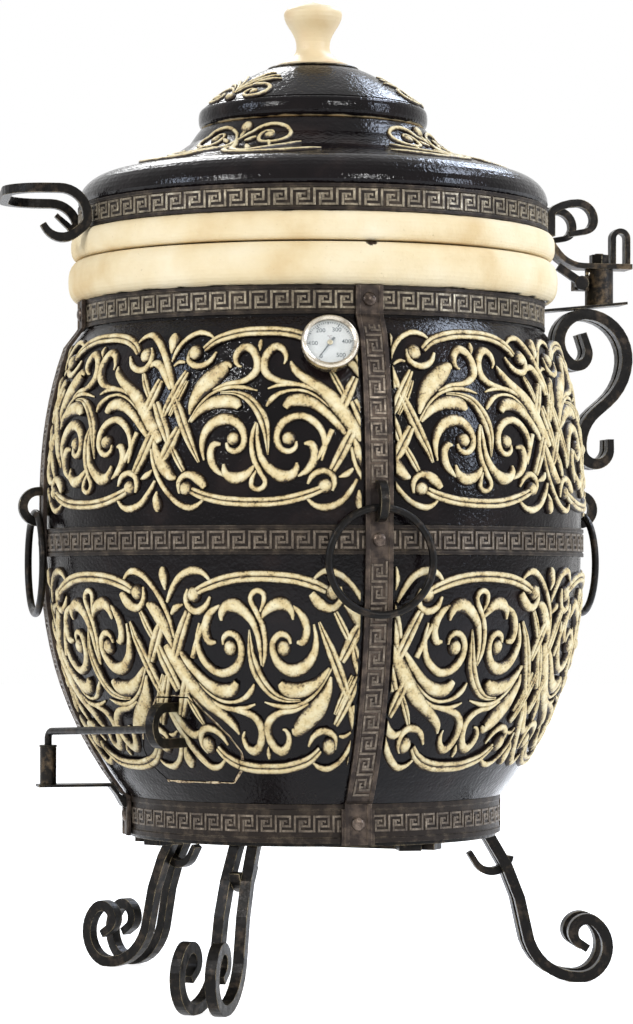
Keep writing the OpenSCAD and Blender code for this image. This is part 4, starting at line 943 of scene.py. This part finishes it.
# %% Set screw
bm = turned_stub(32, 0.0029, 0.0029, 0.005, edge=0.0012, steps=4)
HINGE_X, HINGE_Y, SCREW_Z, HINGE_WALL = 0.32446, 0.07491, 0.7965, 0.016
out_of_wall = Vector((-0.77, -0.638, 0)).normalized()
seat = Matrix.Translation(Vector((HINGE_X, HINGE_Y, SCREW_Z)) + out_of_wall * (HINGE_WALL + 0.0005))
turned = out_of_wall.to_track_quat("Z", "Y").to_matrix().to_4x4()
bmesh.ops.transform(bm, matrix=seat @ turned, verts=bm.verts)
new_piece("set_screw", bm, stainless, "oven")
print("set screw placed")

# %% [markdown]
# The studio: a pale floor without a corner, two small bright lamps in front for the sparkle on
# the glaze, cool windows at the sides, and skylights high on the right and behind. The world and
# the floor look white to the camera and in reflections, and light the oven only softly.

# %% Floor and lamps
def seen_or_mirrored(tree):
    """1 for what the camera sees directly, in a mirror or through glass; 0 for light on the oven."""
    path = add(tree, "LightPath").outputs
    seen = add(tree, "Math", {0: path["Is Camera Ray"], 1: path["Is Glossy Ray"]})
    return add(tree, "Math", {0: seen, 1: path["Is Transmission Ray"]}, use_clamp=True)


bm = bmesh.new()
bmesh.ops.create_grid(bm, x_segments=2, y_segments=2, size=12)
mesh = bpy.data.meshes.new("floor")
bm.to_mesh(mesh)
bm.free()
floor = bpy.data.objects.new("floor", mesh)
scene.collection.objects.link(floor)
paper, tree, shader, place = new_material("white_paper_sweep", {"Roughness": 0.9})
fibre = add(tree, "TexNoise", {"Vector": place, "Scale": per_mm(30)})
color = add(tree, "ValToRGB", {"Fac": fibre}, [(0.3, "#f4f4f4"), (0.7, "#f8f8f8")])
glow = add(tree, "MapRange", {"Value": seen_or_mirrored(tree), "To Max": 0.85})
feed(tree, shader, {"Base Color": color, "Emission Color": linear("#ffffff"), "Emission Strength": glow})
mesh.materials.append(paper)

world = bpy.data.worlds.new("studio")
scene.world = world
world.use_nodes = True
tree = world.node_tree
strength = add(tree, "MapRange", {"Value": seen_or_mirrored(tree), "To Min": 0.32, "To Max": 1.0})
feed(tree, tree.nodes["Background"], {"Color": linear("#ffffff"), "Strength": strength})


def lamp(name, place, width, height, watts, tint="#ffffff", aim=(0, 0, 0.6)):
    light = bpy.data.lights.new(name, "AREA")
    light.shape = "RECTANGLE"
    light.size, light.size_y, light.energy = width, height, watts
    light.color = linear(tint)[:3]
    holder = bpy.data.objects.new(name, light)
    holder.location = place
    holder.rotation_euler = (Vector(aim) - Vector(place)).to_track_quat("-Z", "Y").to_euler()
    scene.collection.objects.link(holder)


SKY = "#dce9ff"
lamp("lamp_front_right", (1.6, -3.2, 2.0), 0.2, 0.2, 36)
lamp("lamp_front_left", (-2.2, -2.6, 2.1), 0.2, 0.2, 42)
lamp("window_right", (2.8, -1.0, 1.5), 0.4, 1.2, 40, SKY)
lamp("window_left", (-2.8, -1.3, 1.8), 0.3, 1.0, 28, SKY)
lamp("skylight_right", (2.3, 0.4, 3.6), 1.0, 1.0, 62, SKY)
lamp("skylight_back_right", (1.6, 2.8, 3.6), 1.1, 1.1, 62, SKY)
lamp("skylight_back_left", (-1.0, 3.0, 3.4), 1.2, 1.2, 56)
print("studio lit")
